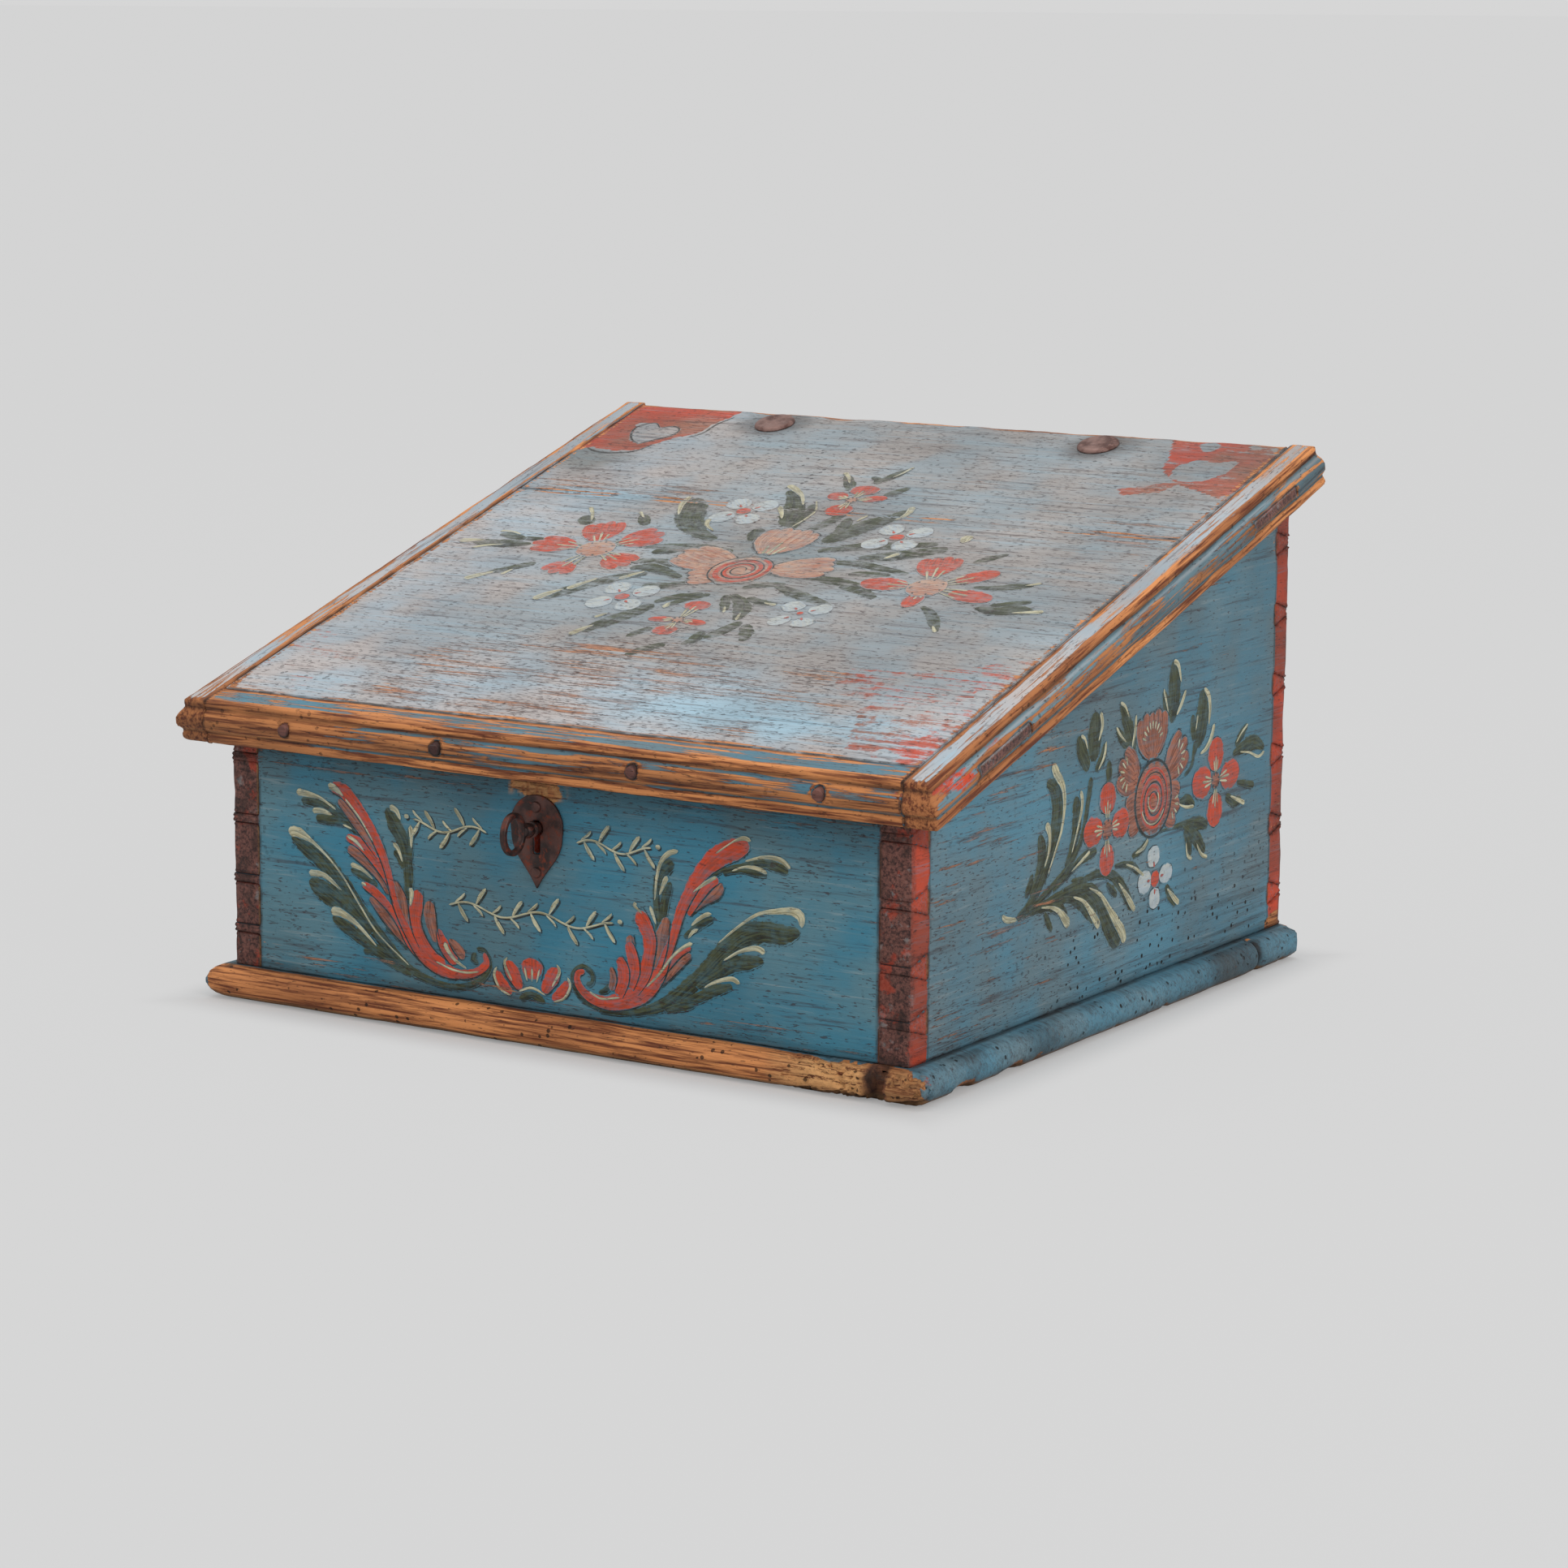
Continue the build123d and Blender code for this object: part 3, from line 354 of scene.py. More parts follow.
    def colour_wood(self, dirt, red):
        """Colour of the whole surface, with the wood that shows through the paint."""
        recipe, woods = self.recipe, self.woods
        pine = recipe.blend(recipe.step(self.streak, 0.36, 0.6), woods.worn_dark, woods.worn)
        pine = recipe.blend(recipe.step(self.wide, 0.4, 0.62, 0.0, dirt), pine, woods.worn_dark)
        self.pine = recipe.blend(recipe.times(self.fleck, 0.6), pine, woods.grime)
        chip = recipe.times(self.chip, recipe.step(self.blotch, 0.4, 0.6, 0.35, 0.9))
        body = recipe.blend(chip, self.paint, recipe.blend(0.3, self.pine, woods.end_grain))
        body = recipe.blend(self.bare, body, self.pine)
        raw = recipe.blend(recipe.step(self.fibre, 0.4, 0.52), woods.worn_dark, woods.raw)
        body = recipe.blend(recipe.painted("raw"), body, raw)
        ends = recipe.blend(recipe.step(self.pores, 0.38, 0.6), woods.end_dark, woods.end_grain)
        mottle = recipe.cloud(recipe.place, 85, 4, 0.65)
        ends = recipe.blend(recipe.step(mottle, 0.36, 0.52, 0.6, 0.0), ends, woods.grime)
        ends = recipe.blend(recipe.step(mottle, 0.58, 0.66, 0.0, 0.35), ends, self.chalk)
        if red:
            spots = recipe.step(recipe.cloud(recipe.place, 40, 5, 0.7), 0.54, 0.62, 0.0, 0.5)
            ends = recipe.blend(spots, ends, red[0])
        body = recipe.blend(recipe.painted("end"), body, ends)
        inside = recipe.blend(recipe.step(self.streak, 0.3, 0.7), woods.old_dark, woods.old)
        body = recipe.blend(recipe.painted("inside"), body, inside)
        # Darkening mark: real grime, and painted shadow under the lid and inside the bottom's split.
        patchy = recipe.step(self.blotch, 0.2, 0.6, 0.5, 1.0)
        body = recipe.blend(recipe.times(recipe.painted("grime"), patchy), body, woods.grime)
        self.body = recipe.blend(self.hole, body, (0.006, 0.005, 0.004))

    def relief(self):
        """Height for the bump."""
        recipe = self.recipe
        splinters = recipe.times(self.fibre, recipe.painted("raw"))
        rough_ends = recipe.times(self.pores, recipe.painted("end"))
        return self.sum(
            (self.streak, 0.8), (self.lines, 0.8), (self.bare, -0.5), (self.chip, -0.6), (self.hole, -2.5),
            (self.fleck, -0.4), (splinters, 5.0), (rough_ends, 1.6),
        )


def painted_board(name, *look, sheen=0.25, **more):
    """Distemper paint over pine, worn through at the arrises and along the grain."""
    recipe = Finish(name)
    board_look = Board(recipe, *look, **more)
    roughness = recipe.step(board_look.bare, 0, 1, 0.52, 0.68)
    return recipe.finish(board_look.body, roughness, board_look.relief(), 0.0005, 0.85, sheen=sheen)


def brushed_paint(name, light, dark, fading, *look, sheen=0.25, **more):
    """Thin paint with brush marks along the stroke, ragged at its edges and rubbed through in places."""
    recipe = Finish(name)
    under = Board(recipe, *look, **more)
    stroke = recipe.add("ShaderNodeUVMap", uv_map="stroke").outputs[0]
    bristles = recipe.cloud(recipe.moved((1.6, 3.6, 1), place=stroke), 1.0, 5, 0.68)
    lit = under.sum((bristles, 1.5), (recipe.painted("lit"), 0.24))
    paint = recipe.blend(recipe.step(lit, 0.68, 1.04), dark, light)
    paint = recipe.blend(recipe.times(under.fleck, 0.5), paint, under.woods.end_dark)
    torn = recipe.cloud(recipe.place, 420, 4, 0.7)
    edge = under.sum((recipe.painted("rim"), 1.0), (torn, 0.75), (bristles, 0.45))
    cover = recipe.step(edge, 1.32, 1.55, 1.0, 0.0)
    thin = under.sum((recipe.cloud(recipe.place, 150, 5, 0.7), 0.5), (under.streak, 0.5))
    cover = recipe.times(cover, recipe.step(thin, 0.42, 0.62, 1.0, 1.0 - fading))
    scraped = under.sum((under.bare, 1.0), (under.chip, 0.8))
    cover = recipe.times(cover, recipe.step(scraped, 0.1, 0.8, 1.0, 0.1))
    # The strokes darken with the same mark: grime, and painted shadow under the lid.
    grime = recipe.times(recipe.painted("grime"), 0.8)
    cover = recipe.times(cover, recipe.maths("SUBTRACT", 1.0, under.hole))
    body = recipe.blend(cover, under.body, recipe.blend(grime, paint, under.woods.grime))
    height = under.sum((under.relief(), 1.0), (bristles, 0.35))
    return recipe.finish(body, 0.52, height, 0.0004, 0.8, sheen=sheen)


def forged_iron(name, dark, body, bloom_colour, shine):
    """Browned iron with rust bloom and hammer marks."""
    recipe = Finish(name)
    bloom = recipe.cloud(recipe.place, 260, 6, 0.7)
    patch = recipe.cloud(recipe.place, 90, 3, 0.5)
    body = recipe.blend(recipe.step(patch, 0.38, 0.62), dark, body)
    body = recipe.blend(recipe.step(bloom, 0.5, 0.68), body, bloom_colour)
    roughness = recipe.step(bloom, 0.3, 0.7, shine, shine + 0.28)
    return recipe.finish(body, roughness, bloom, 0.0003, 0.6, metallic=0.55)


# ---- Weathered copies of the boards ----
NEIGHBOURS = {}
weld_distance = 1e-6
arris_gain = 14
even_wear, knock_wear, dent_wear = 0.25, 0.9, 0.35


def only(piece):
    """Makes a piece the only selected and active one."""
    bpy.ops.object.select_all(action="DESELECT")
    piece.select_set(True)
    bpy.context.view_layer.objects.active = piece


def rows_of(items, key, width=3, kind=float):
    """One property of all points or edges, a row each."""
    flat = np.empty(len(items) * width, dtype=kind)
    items.foreach_get(key, flat)
    return flat.reshape(-1, width)


def tree_of(mesh):
    """Surface of a mesh, to look up the nearest place or what a ray meets."""
    return BVHTree.FromPolygons([v.co for v in mesh.vertices], [tuple(p.vertices) for p in mesh.polygons])


def neighbour_mean(values, pairs, count):
    total = np.zeros_like(values)
    np.add.at(total, pairs[:, 0], values[pairs[:, 1]])
    np.add.at(total, pairs[:, 1], values[pairs[:, 0]])
    return total / (count[:, None] if values.ndim == 2 else count)


def cloud_at(points, scale, seed):
    """Noise from -1 to 1 at each point."""
    shift = Vector((seed * 7.3, seed * 3.1, seed * 5.7))
    return np.array([noise.noise(Vector(p) * scale + shift) for p in points])


def shelter_at(points, node, where):
    """1 where another CAD piece lies against a point, falling to 0 over a small reach."""
    reach, gain = 1.6 * mm, 2.2
    low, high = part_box(node)
    shelter = np.zeros(len(points))
    for name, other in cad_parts.items():
        other_low, other_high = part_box(name)
        apart = any(other_low[i] > high[i] + reach or other_high[i] < low[i] - reach for i in range(3))
        if name == node or apart:
            continue
        if name not in NEIGHBOURS:
            NEIGHBOURS[name] = tree_of(other.data)
        beyond_low, before_high = points > np.array(other_low) - reach, points < np.array(other_high) + reach
        near = np.all(beyond_low & before_high, axis=1)
        for i in np.flatnonzero(near & where):
            distance = NEIGHBOURS[name].find_nearest(Vector(points[i]), reach)[3]
            if distance is not None:
                shelter[i] = max(shelter[i], 1 - distance / reach)
    return np.clip(shelter * gain, 0, 1)


def mark(mesh, name, values):
    """Stores a value from 0 to 1 on each point."""
    layer = mesh.attributes.new(name, "FLOAT", "POINT")
    layer.data.foreach_set("value", np.clip(values, 0, 1).astype(np.float32))


def voxel_copy(node, grid, turn):
    """Copy of a CAD node with an even, slightly softened grid of points, and the outline that it had."""
    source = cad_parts[node]
    piece = bpy.data.objects.new(f"worn_{node}", source.data.copy())
    bpy.context.scene.collection.objects.link(piece)
    piece.data.materials.clear()
    mesh = piece.data
    for attribute in [a.name for a in mesh.attributes if a.name.startswith("COLOR")]:
        mesh.attributes.remove(mesh.attributes[attribute])
    welded = bmesh.new()
    welded.from_mesh(mesh)
    bmesh.ops.remove_doubles(welded, verts=welded.verts, dist=weld_distance)
    welded.to_mesh(mesh)
    welded.free()
    outline = tree_of(mesh)
    mesh.transform(Matrix.Rotation(-turn, 4, "X"))
    only(piece)
    remesh = piece.modifiers.new("grid", "REMESH")
    remesh.mode = "VOXEL"
    remesh.voxel_size = grid
    bpy.ops.object.modifier_apply(modifier=remesh.name)
    smooth = piece.modifiers.new("soften", "SMOOTH")
    smooth.factor = 0.5
    smooth.iterations = 2
    bpy.ops.object.modifier_apply(modifier=smooth.name)
    piece.data.transform(Matrix.Rotation(turn, 4, "X"))
    return piece, outline


def arris_of(points, normals, pairs, grid):
    """1 on a sharp convex arris, falling to 0 on the flat."""
    count = np.maximum(np.bincount(pairs.ravel(), minlength=len(points)), 1)
    bulge = -np.einsum("ij,ij->i", neighbour_mean(points, pairs, count) - points, normals) / grid
    bulge = np.maximum(bulge, 0)
    for _ in range(3):
        bulge = np.maximum(bulge * 0.6, neighbour_mean(bulge, pairs, count))
    return np.clip(bulge * arris_gain, 0, 1)


def weathered(node, body, grid, finish, marks=None, turn=0.0, depth=None, wave=None, shape=None):
    """Copy of a CAD node with worn arrises and an uneven surface, kept inside the node's own box."""
    wear_sizes = bpy.context.scene.desk_wear
    piece, outline = voxel_copy(node, grid, turn)
    mesh = piece.data
    points, normals = rows_of(mesh.vertices, "co"), rows_of(mesh.vertices, "normal")
    worn = arris_of(points, normals, rows_of(mesh.edges, "vertices", 2, np.int64), grid)
    shelter = shelter_at(points, node, worn > 0.03)
    seam = shelter * worn
    for i in np.flatnonzero(shelter > 0.2):
        points[i] = outline.find_nearest(Vector(points[i]))[0]
    worn = worn * (1 - shelter)
    depth = wear_sizes.edge_depth if depth is None else depth
    wave = wear_sizes.waviness if wave is None else wave
    knocks = cloud_at(points, 38, 1)
    dents = cloud_at(points, 130, 2)
    wear = even_wear + knock_wear * np.clip(knocks + 0.15, 0, 1) + dent_wear * np.clip(dents, 0, 1)
    sink = worn * depth * wear
    sink = sink + wave * (0.5 + 0.5 * cloud_at(points, 55, 3)) * (1 - shelter)
    moved = points - normals * sink[:, None]
    if shape is not None:
        moved = shape(moved)
    low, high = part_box(node)
    moved = np.clip(moved, np.array(low), np.array(high))
    mesh.vertices.foreach_set("co", moved.astype(np.float32).ravel())
    mesh.update()
    stored = marks(moved, normals) if marks else {}
    stored["wear"] = worn * (0.75 + 0.5 * knocks) * stored.pop("wear_share", 1.0)
    gap = np.clip(1.1 * seam * (0.75 + 1.2 * dents), 0, 0.8) * stored.pop("seam_share", 1.0)
    stored["grime"] = np.maximum(stored.get("grime", 0.0), gap)
    for name, values in stored.items():
        mark(mesh, name, values)
    mesh.materials.append(finish)
    only(piece)
    bpy.ops.object.shade_smooth()
    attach(piece, body)
    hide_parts(node)
    return piece


def slope_points(points):
    """Across, up the slope and out from the lid's underside, in millimetres."""
    local = points - np.array(lid_start)
    return points[:, 0] / mm, local @ np.array(up_slope) / mm, local @ np.array(lid_normal) / mm


def soft(values, low, high):
    """Smooth step from 0 at low to 1 at high, which may be the smaller."""
    t = np.clip((values - low) / (high - low), 0, 1)
    return t * t * (3 - 2 * t)


# ---- Marks on each board: where it is bare, red, dirty, darkened by painted shade, eaten, or shows end grain ----
def most(*values):
    """Largest of several values at each point."""
    return np.maximum.reduce(values)


def oval(a, b, centre, reach):
    """Distance from a centre, 1 on the oval with the given half sizes."""
    return np.hypot((a - centre[0]) / reach[0], (b - centre[1]) / reach[1])


def corner_at(points):
    """1 on the ends of the front and the back, where the side boards' thickness shows."""
    return soft(np.abs(points[:, 0]), inner_half_width - 0.6 * mm, inner_half_width + 0.2 * mm)


def seam_at(points):
    """1 along the joint between those ends and the painted face."""
    return soft(np.abs(np.abs(points[:, 0]) - inner_half_width), 1.5 * mm, 0.2 * mm)


def base_at(z):
    """1 on a board's lowest strip, which stands on the bottom."""
    return soft(z, bottom_top_mm + 7, bottom_top_mm + 4)


def front_marks(points, normals):
    x, _, z = (points / mm).T
    facing = soft(-normals[:, 1], 0.3, 0.6)
    corner, seam = corner_at(points), seam_at(points)
    ragged = 5 * cloud_at(points, 120, 21)
    chipped = soft(np.hypot((x + 11 + ragged) / 19, (z - 139 + 1.4 * ragged) / 8.5), 1.15, 0.75)
    fibres = soft(cloud_at(points * np.array([3.0, 1, 1]), 160, 22), -0.3, 0.05)
    # Painted shadow of the lid's overhang, together with grime: the front darkens toward its top.
    shade_and_grime_below_lid = np.maximum(soft(z, 137, 147), 0.6 * soft(z, 108, 142))
    # Darker along the foot, where the board stands on the bottom.
    foot = soft(z, bottom_top_mm + 6, bottom_top_mm + 0.5)
    return {
        "end": corner * facing,
        "red": soft(np.abs(normals[:, 0]), 0.3, 0.6),
        "inside": soft(normals[:, 1], 0.3, 0.6),
        "bare": 0.6 * chipped * facing,
        "raw": 0.8 * chipped * fibres * facing,
        "grime": most(0.8 * shade_and_grime_below_lid, 0.5 * foot, 0.65 * seam * facing),
        "rub": np.maximum(0.7 * soft(z, 42, 21), 0.8 * soft(z, 122, 142)) * facing,
        "wear_share": (1 - 0.85 * soft(np.abs(x), 195, 199)) * (1 - 0.9 * base_at(z)),
        "seam_share": 1 - 0.45 * corner,
    }


def back_marks(points, normals):
    corner, seam = corner_at(points), seam_at(points)
    facing = soft(normals[:, 1], 0.3, 0.6)
    return {
        "end": corner * facing,
        "red": soft(np.abs(normals[:, 0]), 0.3, 0.6),
        "inside": soft(-normals[:, 1], 0.3, 0.6),
        # Darker along the foot, where the board stands on the bottom, and along the joints at the ends.
        "grime": np.maximum(0.6 * soft(points[:, 2], bottom_top + 5 * mm, bottom_top), 0.8 * seam * facing),
        "wear_share": 1 - 0.75 * corner,
    }


def side_marks(points, normals):
    outward = normals[:, 0] * np.sign(points[:, 0])
    sway = 0.9 * mm * cloud_at(points, 45, 5)
    near_end = np.minimum(points[:, 1] - front_y, back_y - points[:, 1]) + sway
    y, z = (points[:, 1] - front_y) / mm, points[:, 2] / mm
    band = soft(near_end, board + 0.4 * mm, board - 0.8 * mm)
    holes = soft(y, 90, 210) * soft(y, 425, 400) * soft(z, 72, 48) * soft(z, 17, 24)
    high_holes = soft(y, 250, 300) * soft(y, 425, 400) * soft(z, 125, 60) * 0.6
    chip = soft(oval(y, z, (421, 21), (16, 7)), 1.15, 0.85)
    seam = soft(np.abs(near_end - board), 1.3 * mm, 0.3 * mm)
    ragged = 2.4 * mm * cloud_at(points * np.array([1, 1, 0.4]), 110, 35)
    arris = 0.6 * soft(near_end + ragged, 5.2 * mm, 2.2 * mm)
    dust = 0.2 * soft(z, 160, 70) * soft(y, 260, 60)
    return {
        "end": np.maximum(soft(np.abs(normals[:, 1]), 0.3, 0.6), arris),
        "red": band,
        "inside": soft(-outward, 0.3, 0.6),
        "bare": chip,
        "worms": np.maximum(holes, high_holes),
        "rub": 0.6 * soft(y, 240, 60) * (1 - band),
        "grime": most(
            # Darker along the foot, where the board stands on the bottom.
            0.5 * soft(z, bottom_top_mm + 5, bottom_top_mm + 0.5), 0.7 * seam, dust,
            0.15 * band * soft(cloud_at(points, 60, 9), -0.1, 0.3),
        ),
        "wear_share": (1 - 0.85 * soft(near_end, board + 4 * mm, board + 2 * mm)) * (1 - 0.9 * base_at(z)),
        "seam_share": 1 - 0.5 * band,
    }


def in_outline(x, u, outline):
    """1 where a point is inside a closed outline."""
    inside = np.zeros(len(x), bool)
    for (x0, u0), (x1, u1) in zip(outline, outline[1:] + outline[:1]):
        crosses = (u0 > u) != (u1 > u)
        at = (x1 - x0) * (u - u0) / ((u1 - u0) or 1e-9) + x0
        inside ^= crosses & (x < at)
    return inside.astype(float)


LEFT_SPANDREL = [
    (-245, 450), (-146, 450), (-150, 428), (-156, 412), (-157, 398), (-168, 390), (-176, 378), (-182, 367),
    (-200, 363), (-216, 367), (-226, 360), (-245, 358),
]
HEART = [
    (-187, 377), (-181, 384), (-174, 392), (-173, 402), (-180, 407), (-188, 403), (-195, 410), (-204, 404),
    (-202, 393), (-196, 382),
]
RIGHT_SPANDREL = [
    (245, 450), (147, 450), (152, 430), (160, 412), (163, 396), (172, 384), (182, 374), (204, 364),
    (216, 358), (245, 352),
]
RIGHT_HEART = [(176, 382), (172, 398), (180, 410), (192, 406), (204, 412), (206, 396), (198, 382), (188, 378)]
RED_REMNANTS = (
    (0.62, [(-238, 96), (-196, 84), (-146, 44), (-150, 8), (-240, 2)]),
    (0.72, [(112, 104), (170, 112), (242, 150), (242, 2), (176, 14), (160, 52)]),
    (0.8, [(200, 30), (222, 62), (240, 60), (238, 4), (214, 4)]),
    (0.85, [(152, 362), (186, 378), (180, 360), (160, 352)]),
)
HINGE_RIVETS = ((-114.5, 421), (109.5, 421))


def lid_marks(points, normals):
    x, u, v = slope_points(points)
    rise = normals @ np.array(lid_normal)
    upward = soft(rise, 0.3, 0.6)
    red = in_outline(x, u, LEFT_SPANDREL) * (1 - in_outline(x, u, HEART))
    red = np.maximum(red, 0.9 * in_outline(x, u, RIGHT_SPANDREL) * (1 - in_outline(x, u, RIGHT_HEART)))
    for share, outline in RED_REMNANTS:
        red = np.maximum(red, share * in_outline(x + 6 * cloud_at(points, 60, 24), u, outline))
    rivet = np.minimum.reduce([np.hypot(x - across, u - up) for across, up in HINGE_RIVETS])
    halo = soft(rivet + 5 * cloud_at(points, 50, 14), 33, 11)
    front_dirt = soft(u, 9, 5) * soft(u, 2, 6)
    back_dirt = soft(u, 330, 420) * soft(cloud_at(points, 14, 15), -0.3, 0.3)
    patches = cloud_at(points, 34, 25)
    # A paler blue patch at the front right of the lid.
    pale_front_right_patch = soft(oval(x, u, (104, 40), (92, 27)) + 0.4 * patches, 1.3, 0.3)
    rubbed = soft(u, 2, 24) * soft(u, 138, 84) * soft(np.abs(x + 6), 186, 96)
    rubbed = rubbed * (1.0 + 0.6 * patches) * (1 - 0.5 * pale_front_right_patch)
    old_scrapes = 0.7 * soft(oval(x, u, (-160, 312), (88, 17)), 1.15, 0.5)
    right_scrape = soft(oval(x, u, (190, 305), (34, 22)), 1.1, 0.7)
    upper = soft(oval(x, u, (-168, 300), (62, 9)) + 0.3 * patches, 1.1, 0.5)
    near_bouquet = oval(x, u, (-6, 222), (92, 68)) + 0.35 * cloud_at(points, 26, 18)
    upper_right = 0.26 * soft(oval(x, u, (75, 330), (130, 55)) + 0.35 * patches, 1.1, 0.4)
    broad = 0.24 * soft(x, -190, -90) * soft(u, 50, 120)
    left_of = oval(x, u, (-205, 350), (34, 24)) + 0.3 * cloud_at(points, 40, 19)
    return {
        "end": soft(np.abs(normals[:, 0]), 0.5, 0.8) * soft(v, 4, 8) * soft(v, 19, 15),
        "red": red * upward * soft(cloud_at(points, 60, 6), -0.6, -0.4),
        "inside": soft(-rise, 0.5, 0.8),
        "rub": most(rubbed, old_scrapes, 0.8 * right_scrape) * upward,
        "sky": np.maximum(pale_front_right_patch, 0.8 * upper) * upward,
        "haze": upward * most(
            0.42 * soft(near_bouquet, 1.1, 0.3), 0.5 * soft(left_of, 1.1, 0.4), upper_right, broad,
        ),
        "seam_share": soft(np.minimum(np.abs(np.abs(x) - 223), u), 30, 12),
        "worms": 0.35 * upward,
        "grime": upward * most(0.58 * halo, 0.4 * front_dirt, 0.2 * back_dirt),
    }


def moulding_marks(points, normals):
    """Marks by height on the profile: groove at 7, cove from 9 to 20, quirk at 19, top arris at 22."""
    x, u, v = slope_points(points)
    on_cleat = np.abs(x) > cleat_x / mm
    rise = normals @ np.array(lid_normal)
    outward = 1 - np.abs(rise)
    returned = soft(-(normals @ np.array(up_slope)), 0.35, 0.65) * on_cleat
    quirk = soft(v, 22.5, 20.8) * soft(v, 17.5, 19.5)
    groove = soft(np.abs(v - 7.2), 1.6, 0.2)
    cove = outward * soft(v, 9, 11) * soft(v, 20.5, 18.5) * ~on_cleat
    cove = cove * (0.8 + 0.6 * cloud_at(points * np.array([0.25, 1, 1]), 55, 41))
    rear_band = outward * soft(v, 21, 19) * soft(v, 6, 9) * soft(u, 100, 230) * on_cleat
    return {
        "red": 0.75 * soft(v, 8, 10.5) * soft(v, 23, 21) * soft(u, 95, 55) * soft(np.abs(x), 205, 222)
        * soft(cloud_at(points, 40, 8), -0.3, 0.1),
        "inside": soft(-rise, 0.5, 0.8),
        "bare": most(
            0.5 * returned, 0.42 * soft(v, 19.5, 21.5) * soft(outward, 0.08, 0.4), 0.28 * soft(v, 7, 5.5),
            0.3 * soft(x, -100, -170) * soft(v, 22, 19) * ~on_cleat,
        ),
        "haze": 0.85 * soft(outward, 0.06, 0.3) * soft(v, 24, 22.5),
        "worms": 0.3 * outward,
        # Darker in the quirk, the groove and the cove of the profile.
        "grime": most(
            outward * np.maximum(quirk, groove) * 0.75, 0.5 * outward * soft(x, -90, -200), 0.5 * rear_band,
            0.55 * cove,
        ),
        "wear_share": 1 - 0.75 * rear_band,
    }


def bites_at(points):
    """Depth in millimetres of the bites out of the bottom's lower edges beside the case."""
    outer = soft(np.abs(points[:, 0]), 220 * mm, 226 * mm)
    bite = np.clip(6 * cloud_at(points * np.array([1.0, 1.0, 0.3]), 62, 31) - 1.2, 0, 2.4)
    return bite * soft(points[:, 2], 10 * mm, 2 * mm) * outer


def bottom_marks(points, normals):
    x, y, z = (points / mm).T
    within = soft(np.abs(x) + 2 * cloud_at(points, 60, 16), 232, 229)
    nose = soft(y, front_y_mm - 1, front_y_mm - 3.5) * within
    step = np.minimum(np.abs(y - front_y_mm), np.abs(np.abs(x) - half_width / mm)) + np.abs(z - bottom_top_mm)
    inside = soft(normals[:, 2], 0.5, 0.8) * (np.abs(points[:, 0]) < inner_half_width)
    inside = inside * (points[:, 1] > inner_front_y)
    eaten = soft(x + 16 * cloud_at(points, 45, 17), 140, 160) * nose * soft(z, 19.5, 16)
    ends = soft(np.abs(x), 222, 226)
    bitten = soft(bites_at(points), 0.3, 1.2)
    # The notch is darkened fully: grime, together with painted shade inside the deep split.
    notch = soft(np.abs(x - 204), 8, 5) * soft(y, front_y_mm + 3, front_y_mm - 1)
    beyond = soft(x, 205, 212)
    gap = soft(np.abs(y - plank_gap_y_mm), 4.5, 1.5) * ends
    return {
        "inside": np.maximum(inside, soft(-normals[:, 2], 0.5, 0.8)),
        "bare": most(nose, notch, 0.6 * bitten),
        "red": 0.7 * ends * (x > 0) * soft(np.hypot((y - front_y_mm + 3) / 8, (z - 14) / 6), 1.3, 0.4),
        "raw": eaten * (1 - notch) * (1 - 0.5 * beyond),
        "end": 0.7 * notch,
        "worms": np.maximum(0.8 * nose, 0.8 * ends),
        "grime": most(
            # Darker along the corner where the case stands on the bottom, along the planks' lowest 3 mm, and
            # on the lower part of the ends.
            0.85 * soft(step, 4, 0.8) * (y > front_y_mm - 6), 0.5 * soft(z, 3, 0.5), notch, gap,
            0.4 * ends * soft(z, 10, 3), 0.45 * beyond * nose,
            0.55 * ends * soft(cloud_at(points, 24, 33) + 0.5 * soft(y, 60, 200), 0.15, 0.5),
        ),
        "wear_share": 1 - 0.85 * ends,
    }


def worn_ends(points):
    """Bites out of the lower edges beside the case, and a worn gap where the two planks meet."""
    x, y, z = (points / mm).T
    side, bite = np.sign(x), bites_at(points)
    gap = soft(np.abs(y - plank_gap_y_mm), 5.5, 0.5) * soft(np.abs(x), 220, 226)
    x = x - side * (bite + gap * (2.4 + 2.6 * soft(z, 13, 3)))
    return np.stack([x, y, z + bite * soft(z, 5, 1)], axis=1) * mm


def eaten_corner(points):
    """Wood lost from the front edge near the right corner, with a notch right through the overhang."""
    points = worn_ends(points)
    x, y, z = (points / mm).T
    overhang = soft(y, front_y_mm + 2, front_y_mm - 2)
    zone = soft(x, 134, 178) * overhang
    rough = cloud_at(points * np.array([0.3, 1, 1]), 210, 11) + 0.7 * cloud_at(points, 420, 12)
    loss = zone * np.clip(1.3 + 4.4 * rough, 0, 6.5)
    notch = soft(np.abs(x - 204 - 1.6 * cloud_at(points, 90, 13)), 6.2, 3.4) * overhang
    y = y + loss
    y = y + notch * np.clip(front_y_mm + 0.4 - y, 0, 12)
    z = np.where(z > 9.5, z - 0.7 * loss * soft(z, 9, 14), z + 0.35 * loss * soft(z, 6, 2))
    chipped = soft(x, 216, 236) * overhang * np.clip(1.2 + 2 * rough, 0, 3)
    x = x - chipped
    return np.stack([x, y, z], axis=1) * mm


